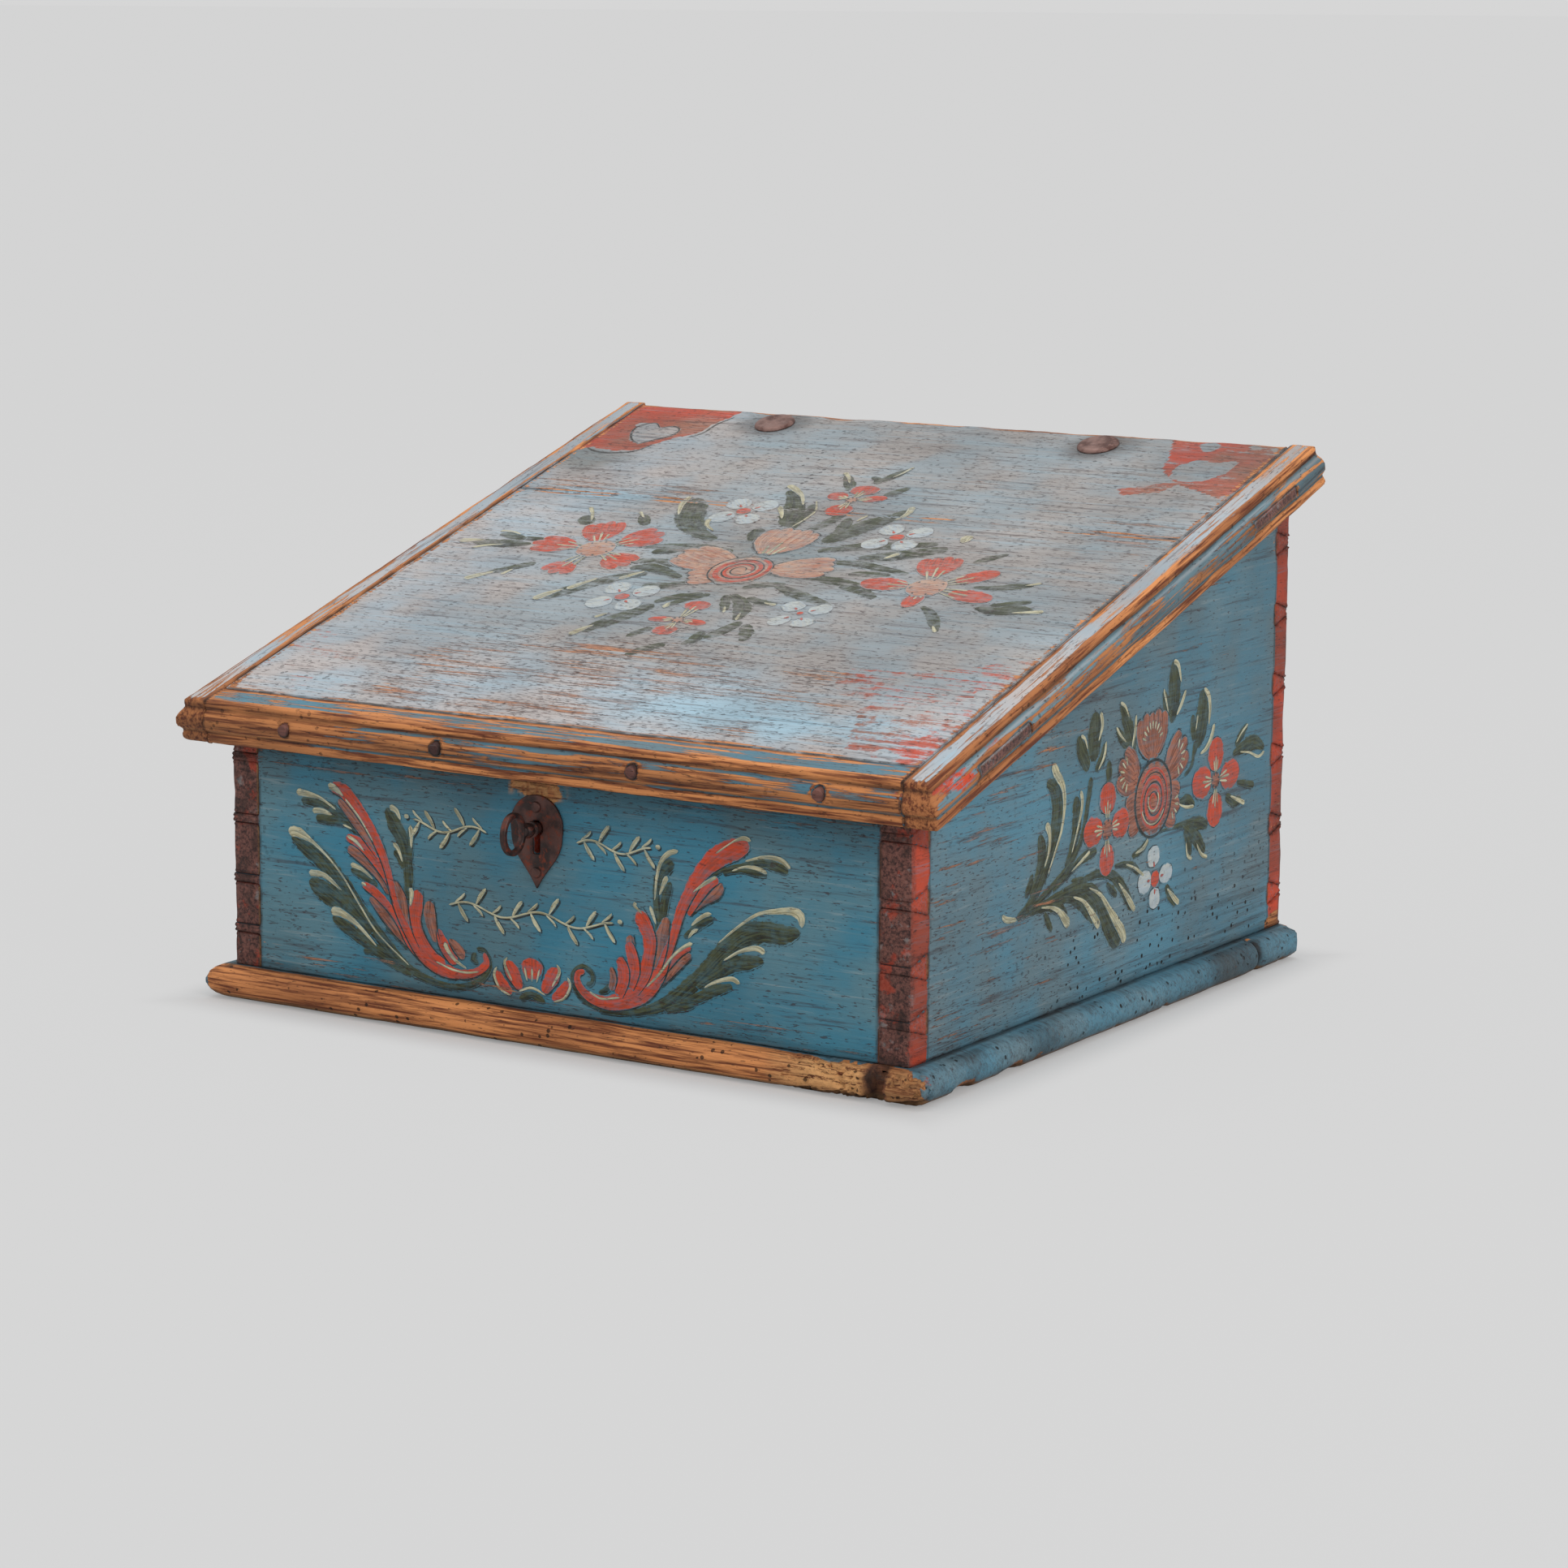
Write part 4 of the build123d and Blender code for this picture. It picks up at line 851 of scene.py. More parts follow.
# ---- Brush strokes. Each point is (across, up, width) in millimetres ----
SCROLL_LEFT = {
    "leaf": (
        ((-178, 97, 5), (-168, 92, 12), (-155, 84, 13), (-142, 71, 14), (-129, 58, 11), (-115, 45, 9),
         (-102, 34, 7), (-89, 28, 5), (-72, 25, 4), (-60, 26, 4), (-49, 31, 4), (-43, 39, 3.5),
         (-46, 47, 3.2), (-52, 48, 3)),
        ((-166, 73, 5), (-158, 69, 12), (-148, 64, 14), (-136, 57, 11), (-122, 48, 8)),
        ((-150, 54, 4), (-140, 49, 8), (-128, 43, 8), (-115, 37, 7), (-100, 31, 4)),
        ((-129, 37.5, 3.5), (-121, 37, 3), (-108, 32, 4), (-95, 28, 3)),
        ((-171, 117, 4), (-160, 117, 7), (-150, 114, 8), (-140, 109, 7), (-128, 101, 6), (-116, 90, 3)),
        ((-161, 108, 4), (-152, 108.5, 7), (-141, 109, 5)),
        ((-137, 82, 3), (-127, 79, 6), (-118, 74, 4)),
        ((-123, 87, 4), (-116, 80, 5), (-110, 72, 3)),
        ((-113.5, 53, 2.5), (-106, 49, 4), (-98, 42, 2)),
        ((-112, 119, 4), (-107, 111, 10), (-101, 102, 10), (-98, 92, 8), (-97, 80, 7), (-97.5, 66, 5),
         (-96, 54, 3)),
        ((-95.5, 111, 3), (-96, 100, 5), (-97, 88, 4)),
        ((-107, 96, 3), (-103, 92, 5), (-100, 86, 3)),
        ((-97, 73, 3), (-97.5, 62, 3), (-95, 52, 3), (-90, 43, 2)),
        ((-52, 46, 3), (-54, 42, 4), (-50, 40, 2)),
    ),
    "rose": (
        ((-145, 120, 4), (-135, 111, 7), (-125, 101, 7), (-117, 90, 3)),
        ((-139, 94, 5), (-128, 89, 8), (-117, 81, 7), (-110, 71, 4)),
        ((-124, 68, 3), (-114, 60, 8), (-105, 52, 8), (-97, 44, 4)),
        ((-107, 79, 4), (-103, 70, 9), (-101, 60, 9), (-97, 50, 6), (-91, 42, 4)),
        ((-83, 71, 6), (-83, 63, 9), (-81, 55, 7), (-78, 48, 5)),
        ((-70, 51, 3), (-64, 46, 7), (-60, 41, 4)),
    ),
    "red": (
        ((-151, 127, 6), (-141, 125, 9), (-131, 116, 8), (-122, 105, 7), (-115, 93, 6), (-110, 80, 5),
         (-106, 66, 5), (-98, 52, 6), (-88, 40, 8), (-75, 34, 9), (-62, 32.5, 6), (-52, 35, 5),
         (-45, 40.5, 5), (-47, 46.5, 3)),
        ((-140, 100, 5), (-130, 97, 7), (-120, 89, 7), (-111, 78, 5), (-106, 66, 3)),
        ((-129, 75, 4), (-120, 71, 6), (-110, 63, 5), (-103, 55, 5), (-96, 45, 6), (-86, 37, 6)),
        ((-91, 76, 8), (-92, 67, 10), (-93, 58, 9), (-89, 48, 9), (-82, 40, 9), (-72, 35, 8)),
        ((-77, 56, 3), (-75, 50, 7), (-71, 44, 8), (-65, 38, 7)),
    ),
    "cream": (
        ((-180, 98, 6), (-174, 99, 8), (-163, 94.5, 3), (-151, 86, 1.4), (-141, 76, 1.2), (-130, 62, 1.2),
         (-118, 48, 1.1), (-97, 33, 0.8)),
        ((-166, 77, 5), (-155, 76.5, 4), (-143, 69.5, 1)),
        ((-151, 57, 6), (-144, 57, 6), (-133, 52, 3.5), (-119, 41, 0.9)),
        ((-174, 121.5, 5), (-167, 121, 5), (-157, 119.5, 2), (-146, 114, 1)),
        ((-163, 112, 4), (-156, 112.5, 4), (-149, 111, 1.2)),
        ((-152, 127.5, 6), (-147, 126, 4.5), (-141, 122, 1)),
        ((-139, 100.5, 2.5), (-133, 98, 2), (-127, 93, 0.8)),
        ((-142, 106.5, 1.6), (-135, 104.5, 0.8)),
        ((-137, 85, 4), (-129, 83, 3), (-121, 78, 1)),
        ((-129.5, 75.5, 3), (-126, 74, 1.5)),
        ((-110, 120, 5), (-105, 118, 4), (-102, 113, 1.2)),
        ((-95.5, 111, 3.5), (-95, 106, 3.2), (-95, 98, 1.2)),
        ((-107.5, 100, 3.5), (-104, 97, 3), (-101, 90, 1)),
        ((-97, 76, 4), (-95, 74, 4), (-96, 66, 1.4)),
        ((-73, 49, 4), (-71, 45, 3), (-66, 40, 2), (-58, 36, 1.3)),
        ((-79, 37.5, 1), (-68, 34.5, 1.3), (-58, 34, 1.2), (-50, 35.5, 0.8)),
        ((-140, 121, 1.2), (-130, 111, 1.2), (-121, 99, 0.9)),
    ),
}
SCROLL_RIGHT = {
    "leaf": (
        ((154, 82, 5), (143, 79, 12), (131, 79, 13), (119, 75, 14), (108, 66, 13), (97, 55, 10),
         (84, 43, 10), (70, 33, 8), (55, 27, 5), (40, 24.5, 3), (28, 24, 2)),
        ((132, 64, 4), (122, 62, 9), (112, 59, 9), (101, 52, 8), (90, 45, 6)),
        ((113, 48, 3), (103, 45, 7), (93, 40, 7), (80, 34, 6), (70, 30, 4)),
        ((90, 36, 3), (82, 33, 5), (72, 30, 3)),
        ((147, 112, 4), (140, 114, 6), (130, 115, 5), (118, 112, 4), (105, 108, 3), (98, 103, 2)),
        ((134, 109, 3), (127, 110, 5), (118, 110, 3), (106, 107, 2)),
        ((101, 83, 3), (95, 80, 5), (88, 75, 4), (82, 70, 2)),
        ((76, 110, 6), (70, 105, 8), (66, 99, 6), (65, 90, 5), (66, 75, 5), (66, 60, 3)),
        ((74, 99, 3), (72, 94, 6), (70, 86, 6), (69, 76, 4)),
        ((40, 25, 2.5), (28, 26, 2.8), (18, 29, 3), (12, 36, 3), (12, 43, 3), (18, 47, 3), (24, 44, 3),
         (24, 39, 3), (20, 37, 3)),
        ((36, 40, 3), (33, 36, 4), (28, 34, 2)),
    ),
    "rose": (
        ((106, 102, 6), (102, 97, 9), (95, 92, 7), (86, 84, 3)),
        ((72, 80, 4), (69, 70, 9), (67, 60, 9), (64, 48, 6)),
        ((48, 68, 6), (49, 61, 7)),
        ((36, 49, 3), (38, 43, 5), (36, 36, 5)),
        ((87, 62, 4), (80, 57, 7), (72, 48, 5), (66, 42, 3)),
    ),
    "red": (
        ((123, 124, 6), (115, 121, 12), (104, 116, 13), (94, 107, 10), (86, 95, 8), (80, 83, 7),
         (76, 70, 6), (71, 58, 7), (66, 47, 9), (57, 38, 12), (45, 32, 11), (33, 29, 8), (22, 31, 6),
         (15, 37, 5), (15, 43, 4), (20, 44.5, 3)),
        ((104, 104, 5), (98, 100, 6), (91, 92, 6), (85, 82, 3)),
        ((87, 66, 4), (80, 62, 5), (73, 54, 4), (66, 45, 3)),
        ((53, 81, 9), (57, 75, 10), (61, 66, 9), (60, 56, 8), (57, 47, 9), (50, 38, 9)),
        ((47, 64, 6), (50, 56, 8), (51, 48, 8), (47, 39, 8)),
        ((41, 55, 5), (44, 49, 8), (44, 42, 8), (40, 34, 8)),
    ),
    "cream": (
        ((155, 84, 3), (154, 90, 7), (149, 92, 6), (140, 91, 4), (128, 88, 2), (116, 80, 1.5),
         (104, 70, 0.9)),
        ((133, 68, 5), (127, 70, 4), (117, 67, 2), (107, 61, 0.9)),
        ((117.5, 50, 3), (112, 52, 3.5), (102, 49, 2), (95, 45, 0.9)),
        ((148, 114, 3), (142, 118, 3.5), (132, 118.5, 2), (120, 115, 1)),
        ((134, 110, 2.5), (128, 112, 3), (120, 112, 1.5), (112, 109, 0.9)),
        ((124, 126, 3), (119, 127, 3), (112, 124, 1), (102, 117, 0.9)),
        ((103, 105, 2), (96, 101, 2), (88, 95, 0.8)),
        ((100, 85, 2.5), (96, 84, 3), (90, 80, 2), (87, 77, 0.9)),
        ((91.5, 76, 2), (88, 74, 2.5), (85, 70, 0.9)),
        ((88, 68, 3), (82, 65, 2.5), (75, 59, 1.6), (67, 49, 1.4), (59, 41, 0.9)),
        ((79, 116, 2.5), (73, 114, 4), (68, 109, 3), (65.5, 101, 2), (64, 88, 0.9)),
        ((72, 102, 3.5), (70, 98, 3.5), (67, 91, 1.2)),
        ((61, 85, 2.5), (63, 80, 2.5), (65, 75, 0.9)),
        ((53, 85, 4), (51, 84, 2.5), (56, 80, 1)),
        ((42, 33, 1.1), (30, 31, 1.2), (22, 34, 0.9)),
    ),
}


def both_sides(middle, *strokes):
    """Each stroke, followed by its mirror image."""
    pairs = []
    for stroke in strokes:
        pairs += [stroke, tuple((2 * middle - a, b, w) for a, b, w in stroke)]
    return tuple(pairs)


TULIP = {
    "red": (
        ((-15, 48, 8), (-15, 43, 16), (-15, 35, 12)),
        *both_sides(
            -15, ((-32, 44, 6), (-28, 38, 10), (-22, 29, 5)), ((-39, 38, 5), (-36, 32, 8), (-28, 26, 4)),
        ),
    ),
    "leaf": (((-24, 24, 2), (-19, 26, 5), (-15, 27, 4), (-11, 26, 5), (-6, 24, 2)),),
    "cream": (
        ((-24, 28, 0.9), (-15, 31, 1.6), (-6, 28, 0.9)),
        ((-15, 42, 1.8), (-15, 34, 1)),
        *both_sides(
            -15, ((-20, 42, 1.6), (-18, 34, 0.9)),
            ((-38, 40, 1.6), (-40, 35, 1.8), (-36, 28, 1.4), (-29, 25, 0.9)),
            ((-31, 46, 1), (-33, 42, 1.8), (-28, 33, 1)),
        ),
    ),
}
GARLANDS = ((-44, -94, 112, 2.6, 5), (14, 62, 113, 2.6, 5), (-70, 38, 70, 2.8, 9))
BOUQUET = {
    "leaf": (
        ((138, 146, 4), (147, 141, 13), (151, 130, 15), (149, 118, 14), (143, 106, 12), (134, 94, 10),
         (122, 83, 7), (108, 77, 4)),
        ((131, 119, 4), (134, 112, 10), (134, 103, 11), (129, 94, 8), (122, 86, 4)),
        ((125, 99, 4), (121, 92, 6), (117, 87, 4)),
        ((171, 134, 5), (172, 126, 11), (172, 116, 11), (167, 104, 7), (160, 96, 3)),
        ((188, 142, 6), (184, 126, 5), (178, 110, 5), (165, 97, 5), (140, 86, 5), (113, 77, 3)),
        ((172, 166, 5), (177, 156, 12), (185, 146, 8)),
        ((192, 177, 8), (191, 165, 17), (190, 149, 12)),
        ((203, 158, 5), (200, 150, 8), (192, 144, 5)),
        ((208, 148, 4), (208, 141, 8), (208, 135, 4)),
        ((220, 178, 4), (227, 167, 11), (234, 155, 11), (238, 149, 5)),
        ((216, 164, 4), (223, 157, 8), (233, 151, 5)),
        ((282, 194, 6), (283, 182, 16), (283, 168, 14), (280, 158, 5)),
        ((270, 178, 4), (274, 170, 9), (279, 163, 6)),
        ((318, 173, 6), (318, 160, 17), (315, 148, 15), (309, 139, 5), (306, 131, 3), (297, 126, 2)),
        ((306, 160, 4), (307, 152, 8), (309, 144, 5)),
        ((398, 128, 4), (385, 133, 10), (370, 132, 9), (357, 130, 3)),
        ((376, 145, 3), (368, 140, 7), (360, 134, 4)),
        ((386, 108, 4), (376, 110, 5), (363, 113, 3)),
        ((370, 102, 4), (360, 102, 8), (349, 107, 5)),
        ((311, 107, 3), (302, 112, 7), (291, 112, 3)),
        ((328, 93, 5), (318, 96, 9), (305, 98, 6), (280, 99, 2), (262, 99, 1.4)),
        ((325, 78, 5), (316, 86, 11), (306, 93, 10), (297, 98, 3)),
        ((306, 78, 5), (304, 88, 9), (299, 96, 5)),
        ((246, 79, 4), (238, 84, 6), (228, 87, 4), (216, 88, 2)),
        ((256, 97, 4), (247, 92, 5), (236, 90, 3)),
        ((164, 67, 5), (155, 75, 8), (142, 79, 8), (128, 79, 6), (108, 78, 3)),
        ((147, 64, 3), (142, 70, 6), (138, 76, 3)),
        ((196, 61, 8), (188, 69, 13), (176, 77, 13), (160, 81, 9), (140, 80, 6), (118, 78, 3)),
        ((224, 43, 9), (217, 50, 17), (209, 60, 16), (201, 70, 12), (190, 79, 9), (172, 82, 7),
         (148, 81, 4)),
        ((238, 60, 6), (231, 69, 9), (223, 77, 9), (212, 84, 7), (198, 87, 6), (180, 86, 4), (158, 84, 3)),
        ((220, 71, 4), (214, 75, 6), (207, 80, 3)),
        ((291, 54, 5), (284, 60, 8), (277, 67, 5)),
        ((196, 100, 5), (185, 99, 7), (175, 97, 6), (163, 92, 4), (146, 86, 3)),
        ((186, 85, 3), (178, 87, 4), (167, 88, 2)),
    ),
    "cream": (
        ((92, 82, 3), (97, 79, 5), (108, 77, 2)),
        ((144, 155, 7), (149, 149, 8), (156, 141, 6), (158, 130, 4), (155, 117, 3), (148, 106, 2),
         (141, 96, 0.9)),
        ((138, 124, 7), (142, 118, 5), (142, 109, 3), (137, 100, 0.9)),
        ((176, 136, 4), (178, 128, 4), (174, 117, 2), (167, 103, 0.9)),
        ((197, 176, 4), (199, 168, 4), (195, 160, 1.2)),
        ((175, 166, 3), (180, 163, 2), (183, 157, 0.9)),
        ((204, 159, 2.5), (202, 151, 3), (195, 144, 0.9)),
        ((219, 178, 3), (225, 175, 2), (230, 168, 0.9)),
        ((215, 165, 2), (220, 160, 2), (227, 155, 0.9)),
        ((238, 169, 2), (237, 160, 3.6), (234, 151, 2)),
        ((297, 175, 3), (292, 168, 4), (286, 162, 1.4)),
        ((281, 193, 4), (287, 190, 4), (291, 180, 1.4)),
        ((270, 179, 2.5), (273, 172, 2), (276, 165, 0.9)),
        ((319, 173, 3), (325, 168, 5), (327, 160, 4), (326, 151, 1.2)),
        ((333, 151, 4), (329, 143, 5), (323, 138, 4), (316, 136, 1.2)),
        ((312, 159, 2.6), (310, 150, 1)),
        ((398, 126, 2.6), (390, 124, 2.5), (378, 128, 1.6), (366, 130, 0.8)),
        ((376, 145, 2), (368, 141, 1.4), (361, 136, 0.8)),
        ((374, 99, 4), (366, 102, 3.4), (355, 106, 1.2)),
        ((310, 107, 2), (300, 108, 2), (291, 111, 0.8)),
        ((328, 75, 3), (320, 78, 3), (314, 85, 0.9)),
        ((309, 77, 3), (303, 80, 3), (301, 88, 0.9)),
        ((251, 77, 2), (240, 83, 2), (229, 87, 0.9)),
        ((256, 98, 3), (250, 93, 3), (240, 91, 1)),
        ((166, 64, 7), (162, 67, 8), (155, 73, 5), (146, 77, 2.5), (134, 79, 0.9)),
        ((200, 57, 6), (195, 62, 7), (188, 69, 5), (180, 75, 3), (169, 79, 0.9)),
        ((230, 43, 6), (226, 50, 9), (219, 57, 8), (210, 66, 5), (200, 75, 3), (187, 81, 0.9)),
        ((241, 59, 4), (236, 64, 5.5), (230, 70, 4), (221, 78, 1)),
        ((294, 54, 4), (288, 58, 4.5), (279, 65, 1.4)),
        ((188, 101, 2.6), (178, 97, 2), (167, 93, 0.8)),
    ),
}
SIDE_ROSE = (260, 119)
SIDE_ROSE_PETALS = (
    (258, 155, 21, 14), (231, 137, 13, 14), (287, 138, 12, 16), (281, 113, 13, 12), (239, 114, 12, 12),
)
ROSE_RAYS = (
    (258, 150, 8, 13, 20, 160, 9), (231, 137, 5, 11, 110, 250, 6), (287, 138, 5, 11, -70, 70, 6),
    (281, 113, 5, 10, -70, 20, 4),
)
SIDE_FLOWERS = (
    ("red", 207, 110, 6, ((0, 17, 10, 9), (-16, 1, 9, 11), (15, 1, 9, 10), (0, -17, 9, 9))),
    ("red", 336, 118, 5, ((0, 15, 10, 10), (-17, 1, 10, 12), (18, 1, 9, 12), (0, -17, 10, 10))),
    ("white", 264, 73, 5, ((-2, 13, 8, 6), (-12, 0, 7, 8), (13, 1, 6, 8), (0, -11, 7, 6))),
)
LID_LEAVES = {
    "leaf": (
        ((-99, 305, 10), (-92, 290, 20), (-83, 273, 20), (-68, 258, 14), (-50, 249, 6)),
        ((-46, 326, 7), (-36, 313, 10), (-28, 300, 16), (-22, 286, 16), (-17, 275, 8)),
        ((-19, 309, 4), (-17, 296, 10), (-15, 283, 9), (-13, 272, 5)),
        ((-23, 353, 4), (-17, 345, 8), (-12, 338, 8), (-8, 331, 4)),
        ((-6, 353, 3), (0, 350, 6), (4, 343, 5)),
        ((12, 369, 3), (8, 358, 9), (3, 347, 7)),
        ((27, 342, 4), (22, 334, 9), (17, 327, 5)),
        ((45, 311, 7), (40, 300, 13), (32, 288, 18), (24, 272, 18), (17, 257, 10)),
        ((13, 294, 4), (17, 283, 10), (20, 270, 9)),
        ((172, 226, 4), (162, 222, 9), (150, 218, 7), (138, 217, 3)),
        ((190, 192, 5), (178, 193, 14), (166, 190, 12), (153, 192, 4)),
        ((182, 205, 4), (172, 201, 7), (160, 196, 4)),
        ((-205, 222, 5), (-192, 220, 11), (-178, 221, 12), (-162, 223, 4)),
        ((-192, 233, 4), (-182, 232, 9), (-170, 228, 5)),
        ((-154, 269, 6), (-149, 262, 12), (-143, 256, 7)),
        ((-118, 276, 5), (-112, 268, 9), (-106, 261, 5)),
        ((-37, 162, 5), (-28, 171, 9), (-14, 179, 5)),
        ((-26, 160, 5), (-20, 170, 8), (-9, 179, 4)),
        ((12, 159, 5), (6, 170, 7), (0, 180, 4)),
        ((26, 149, 4), (22, 162, 12), (14, 173, 10), (3, 181, 5)),
        ((38, 174, 4), (28, 174, 8), (15, 179, 5)),
        ((-80, 203, 6), (-68, 206, 12), (-54, 202, 9), (-40, 196, 4)),
        ((-34, 270, 6), (-30, 262, 13), (-26, 252, 9)),
    ),
    "faded": (
        ((-107, 154, 5), (-100, 165, 14), (-90, 178, 12), (-78, 190, 12), (-64, 199, 9)),
        ((-57, 117, 5), (-50, 131, 14), (-42, 145, 14), (-35, 160, 8)),
        ((-168, 176, 4), (-156, 187, 9), (-142, 199, 7)),
        ((97, 264, 9), (85, 256, 14), (70, 248, 15), (50, 240, 9)),
        ((136, 263, 3), (128, 255, 8), (121, 247, 4)),
        ((83, 222, 5), (70, 222, 9), (56, 220, 6)),
        ((148, 158, 3), (140, 170, 8), (131, 181, 7), (122, 188, 3)),
        ((20, 124, 6), (26, 135, 11), (30, 149, 6)),
        ((-26, 117, 4), (-22, 125, 8), (-17, 131, 5)),
        ((-12, 94, 4), (-6, 104, 10), (3, 113, 7)),
        ((12, 114, 4), (16, 122, 10), (14, 133, 6)),
        ((45, 125, 5), (41, 136, 10), (34, 146, 5)),
        ((-60, 240, 6), (-68, 232, 12), (-80, 226, 7)),
        ((60, 204, 6), (76, 200, 9), (90, 192, 5)),
        ((-30, 236, 5), (-52, 238, 10), (-74, 236, 9), (-90, 232, 4)),
        ((-34, 214, 5), (-56, 214, 11), (-76, 214, 8), (-92, 208, 4)),
        ((20, 246, 6), (42, 256, 12), (66, 262, 12), (88, 268, 6)),
        ((32, 232, 5), (54, 234, 9), (74, 230, 8), (92, 226, 4)),
        ((30, 212, 5), (50, 210, 10), (68, 206, 9), (84, 198, 4)),
        ((22, 198, 5), (38, 190, 10), (54, 184, 9), (70, 178, 4)),
        ((-2, 270, 5), (4, 284, 10), (6, 298, 8), (4, 312, 4)),
        ((-30, 192, 5), (-44, 184, 10), (-58, 182, 7)),
        ((4, 190, 5), (14, 196, 8), (28, 200, 5)),
        ((-140, 226, 4), (-160, 230, 7), (-178, 230, 5)),
    ),
    "cream": (
        ((-104, 306, 4), (-102, 294, 4), (-95, 279, 1.2)),
        ((-72, 277, 4), (-68, 268, 3), (-59, 261, 1)),
        ((-51, 332, 5), (-43, 327, 5), (-33, 318, 3), (-25, 306, 1.2)),
        ((-20, 313, 1.2), (-13, 300, 1.5), (-12, 288, 1.5), (-14, 275, 0.9)),
        ((-39, 302, 4), (-32, 293, 3), (-27, 285, 1)),
        ((-26, 356, 4), (-20, 350, 2.6), (-14, 341, 0.9)),
        ((13, 371, 2.5), (11, 362, 1.6), (8, 354, 0.9)),
        ((44, 315, 5), (46, 305, 4), (43, 295, 1.2)),
        ((23, 299, 3), (21, 289, 1)),
        ((100, 283, 6), (100, 278, 8), (101, 272, 3)),
        ((72, 252, 5), (66, 243, 2)),
        ((175, 229, 3.4), (167, 224, 1)),
        ((195, 194, 6), (188, 192, 4), (177, 189, 1)),
        ((148, 157, 3), (142, 165, 1)),
        ((-212, 219, 7), (-204, 221, 5), (-195, 223, 1.4)),
        ((-194, 237, 3), (-185, 237, 2.4), (-177, 234, 0.9)),
        ((-197, 211, 4), (-189, 216, 2.4), (-179, 219, 0.9)),
        ((-158, 280, 3), (-150, 270, 2.4), (-145, 261, 0.9)),
        ((-122, 279, 3), (-114, 271, 1)),
        ((-173, 169, 7), (-167, 176, 6), (-160, 182, 2)),
        ((-112, 151, 7), (-108, 160, 6), (-102, 168, 1.6)),
        ((-100, 168, 6), (-95, 178, 4.6), (-90, 186, 1.4)),
        ((-77, 187, 5), (-72, 194, 4), (-67, 200, 1.2)),
        ((-61, 112, 6), (-58, 120, 5), (-54, 127, 1.6)),
        ((-60, 136, 4), (-55, 143, 1.4)),
        ((-26, 156, 5), (-27, 164, 2)),
        ((13, 157, 2.6), (9, 165, 1)),
        ((26, 149, 2), (23, 159, 1)),
        ((38, 172, 4), (29, 174, 1.2)),
        ((-154, 179, 4), (-151, 188, 1.4)),
    ),
}
LID_ROSE = (-10, 212)
LID_ROSE_PETALS = ((-8, 255, 21, 19), (-38, 222, 16, 25), (25, 222, 15, 20), (-26, 205, 15, 14))
LID_FLOWERS = (
    ("red", -117, 224, 12, (
        (-11, 24, 14, 15), (20, 19, 13, 14), (-30, 1, 11, 16), (24, -13, 11, 12), (-6, -29, 11, 9),
    )),
    ("red", 112, 211, 12, (
        (-8, 28, 14, 14), (-27, 0, 9, 15), (31, -6, 8, 15), (22, 19, 8, 13), (1, -17, 6, 10),
    )),
    ("red", 1, 318, 4, ((0, 15, 10, 7), (0, -15, 9, 8), (-12, 4, 6, 7), (13, 4, 5, 8))),
    ("red", -8, 143, 4, ((0, 20, 9, 6), (0, -14, 8, 6), (-11, -1, 4, 8), (11, -1, 4, 8))),
    ("white", -57, 291, 4.5, ((-9, 10, 8, 8), (9, 10, 8, 8), (-9, -10, 8, 8), (9, -10, 8, 8))),
    ("white", 58, 272, 4.5, ((-9, 10, 8, 8), (10, 9, 8, 8), (-9, -10, 8, 8), (10, -9, 8, 8))),
    ("white", -60, 165, 4.5, ((-10, 11, 8, 8), (10, 10, 8, 8), (-10, -9, 8, 8), (10, -9, 8, 8))),
    ("white", 58, 165, 2, ((-9, 8, 7, 7), (9, 7, 7, 7), (-7, -11, 6, 7), (8, -11, 7, 6))),
)
HEART_LINE = (
    (-187, 377, 1), (-196, 383, 1.5), (-203, 394, 1.6), (-204, 404, 1.3), (-196, 410, 1), (-188, 403, 0.8),
)
HEART_LINE_RIGHT = (
    (-187, 377, 1), (-180, 385, 1.3), (-173, 393, 1.6), (-173, 402, 1.3), (-180, 407, 1), (-187, 403, 0.8),
)
SCALLOP_LINE = ((-218, 366, 1.2), (-208, 361, 1.8), (-194, 361, 2), (-182, 366, 1.8), (-177, 377, 1.2))
SCALLOP_LINE_UP = ((-160, 391, 1.2), (-154, 400, 1.8), (-153, 414, 1.8), (-148, 427, 1.2))


# ---- Painting on a face ----
brush_reach = 6 * mm
station_spacing_mm = 1.4
brush_rows = (-1, -0.55, 0, 0.55, 1)
paint_clearance = 0.03 * mm
rim_depth = 0.25 * mm
width_wobble = 0.14
layer_seed_step = 31
bristle_length_mm, bristle_width_mm, bristle_shift = 30, 5, 0.37
contour_width_mm = 1.0
contoured_from_mm = 5.0


class Canvas:
    """A painted face: its frame, the worn boards that the brush touches, and the marks on them."""

    def __init__(self, origin, across, up, out, boards, marks):
        self.origin, self.across, self.up, self.out, self.marks = origin, across, up, out, marks
        self.turned = across.cross(up).dot(out) < 0
        self.trees = [tree_of(bpy.data.objects[name].data) for name in boards]

    def spot(self, a, b, height):
        """Point on the worn surface, raised by a height."""
        start = self.origin + self.across * (a * mm) + self.up * (b * mm) + self.out * brush_reach
        hits = [tree.ray_cast(start, -self.out, 2 * brush_reach) for tree in self.trees]
        reach = [h[3] for h in hits if h[0] is not None]
        below = min(reach) if reach else brush_reach
        return start - self.out * (below - height)


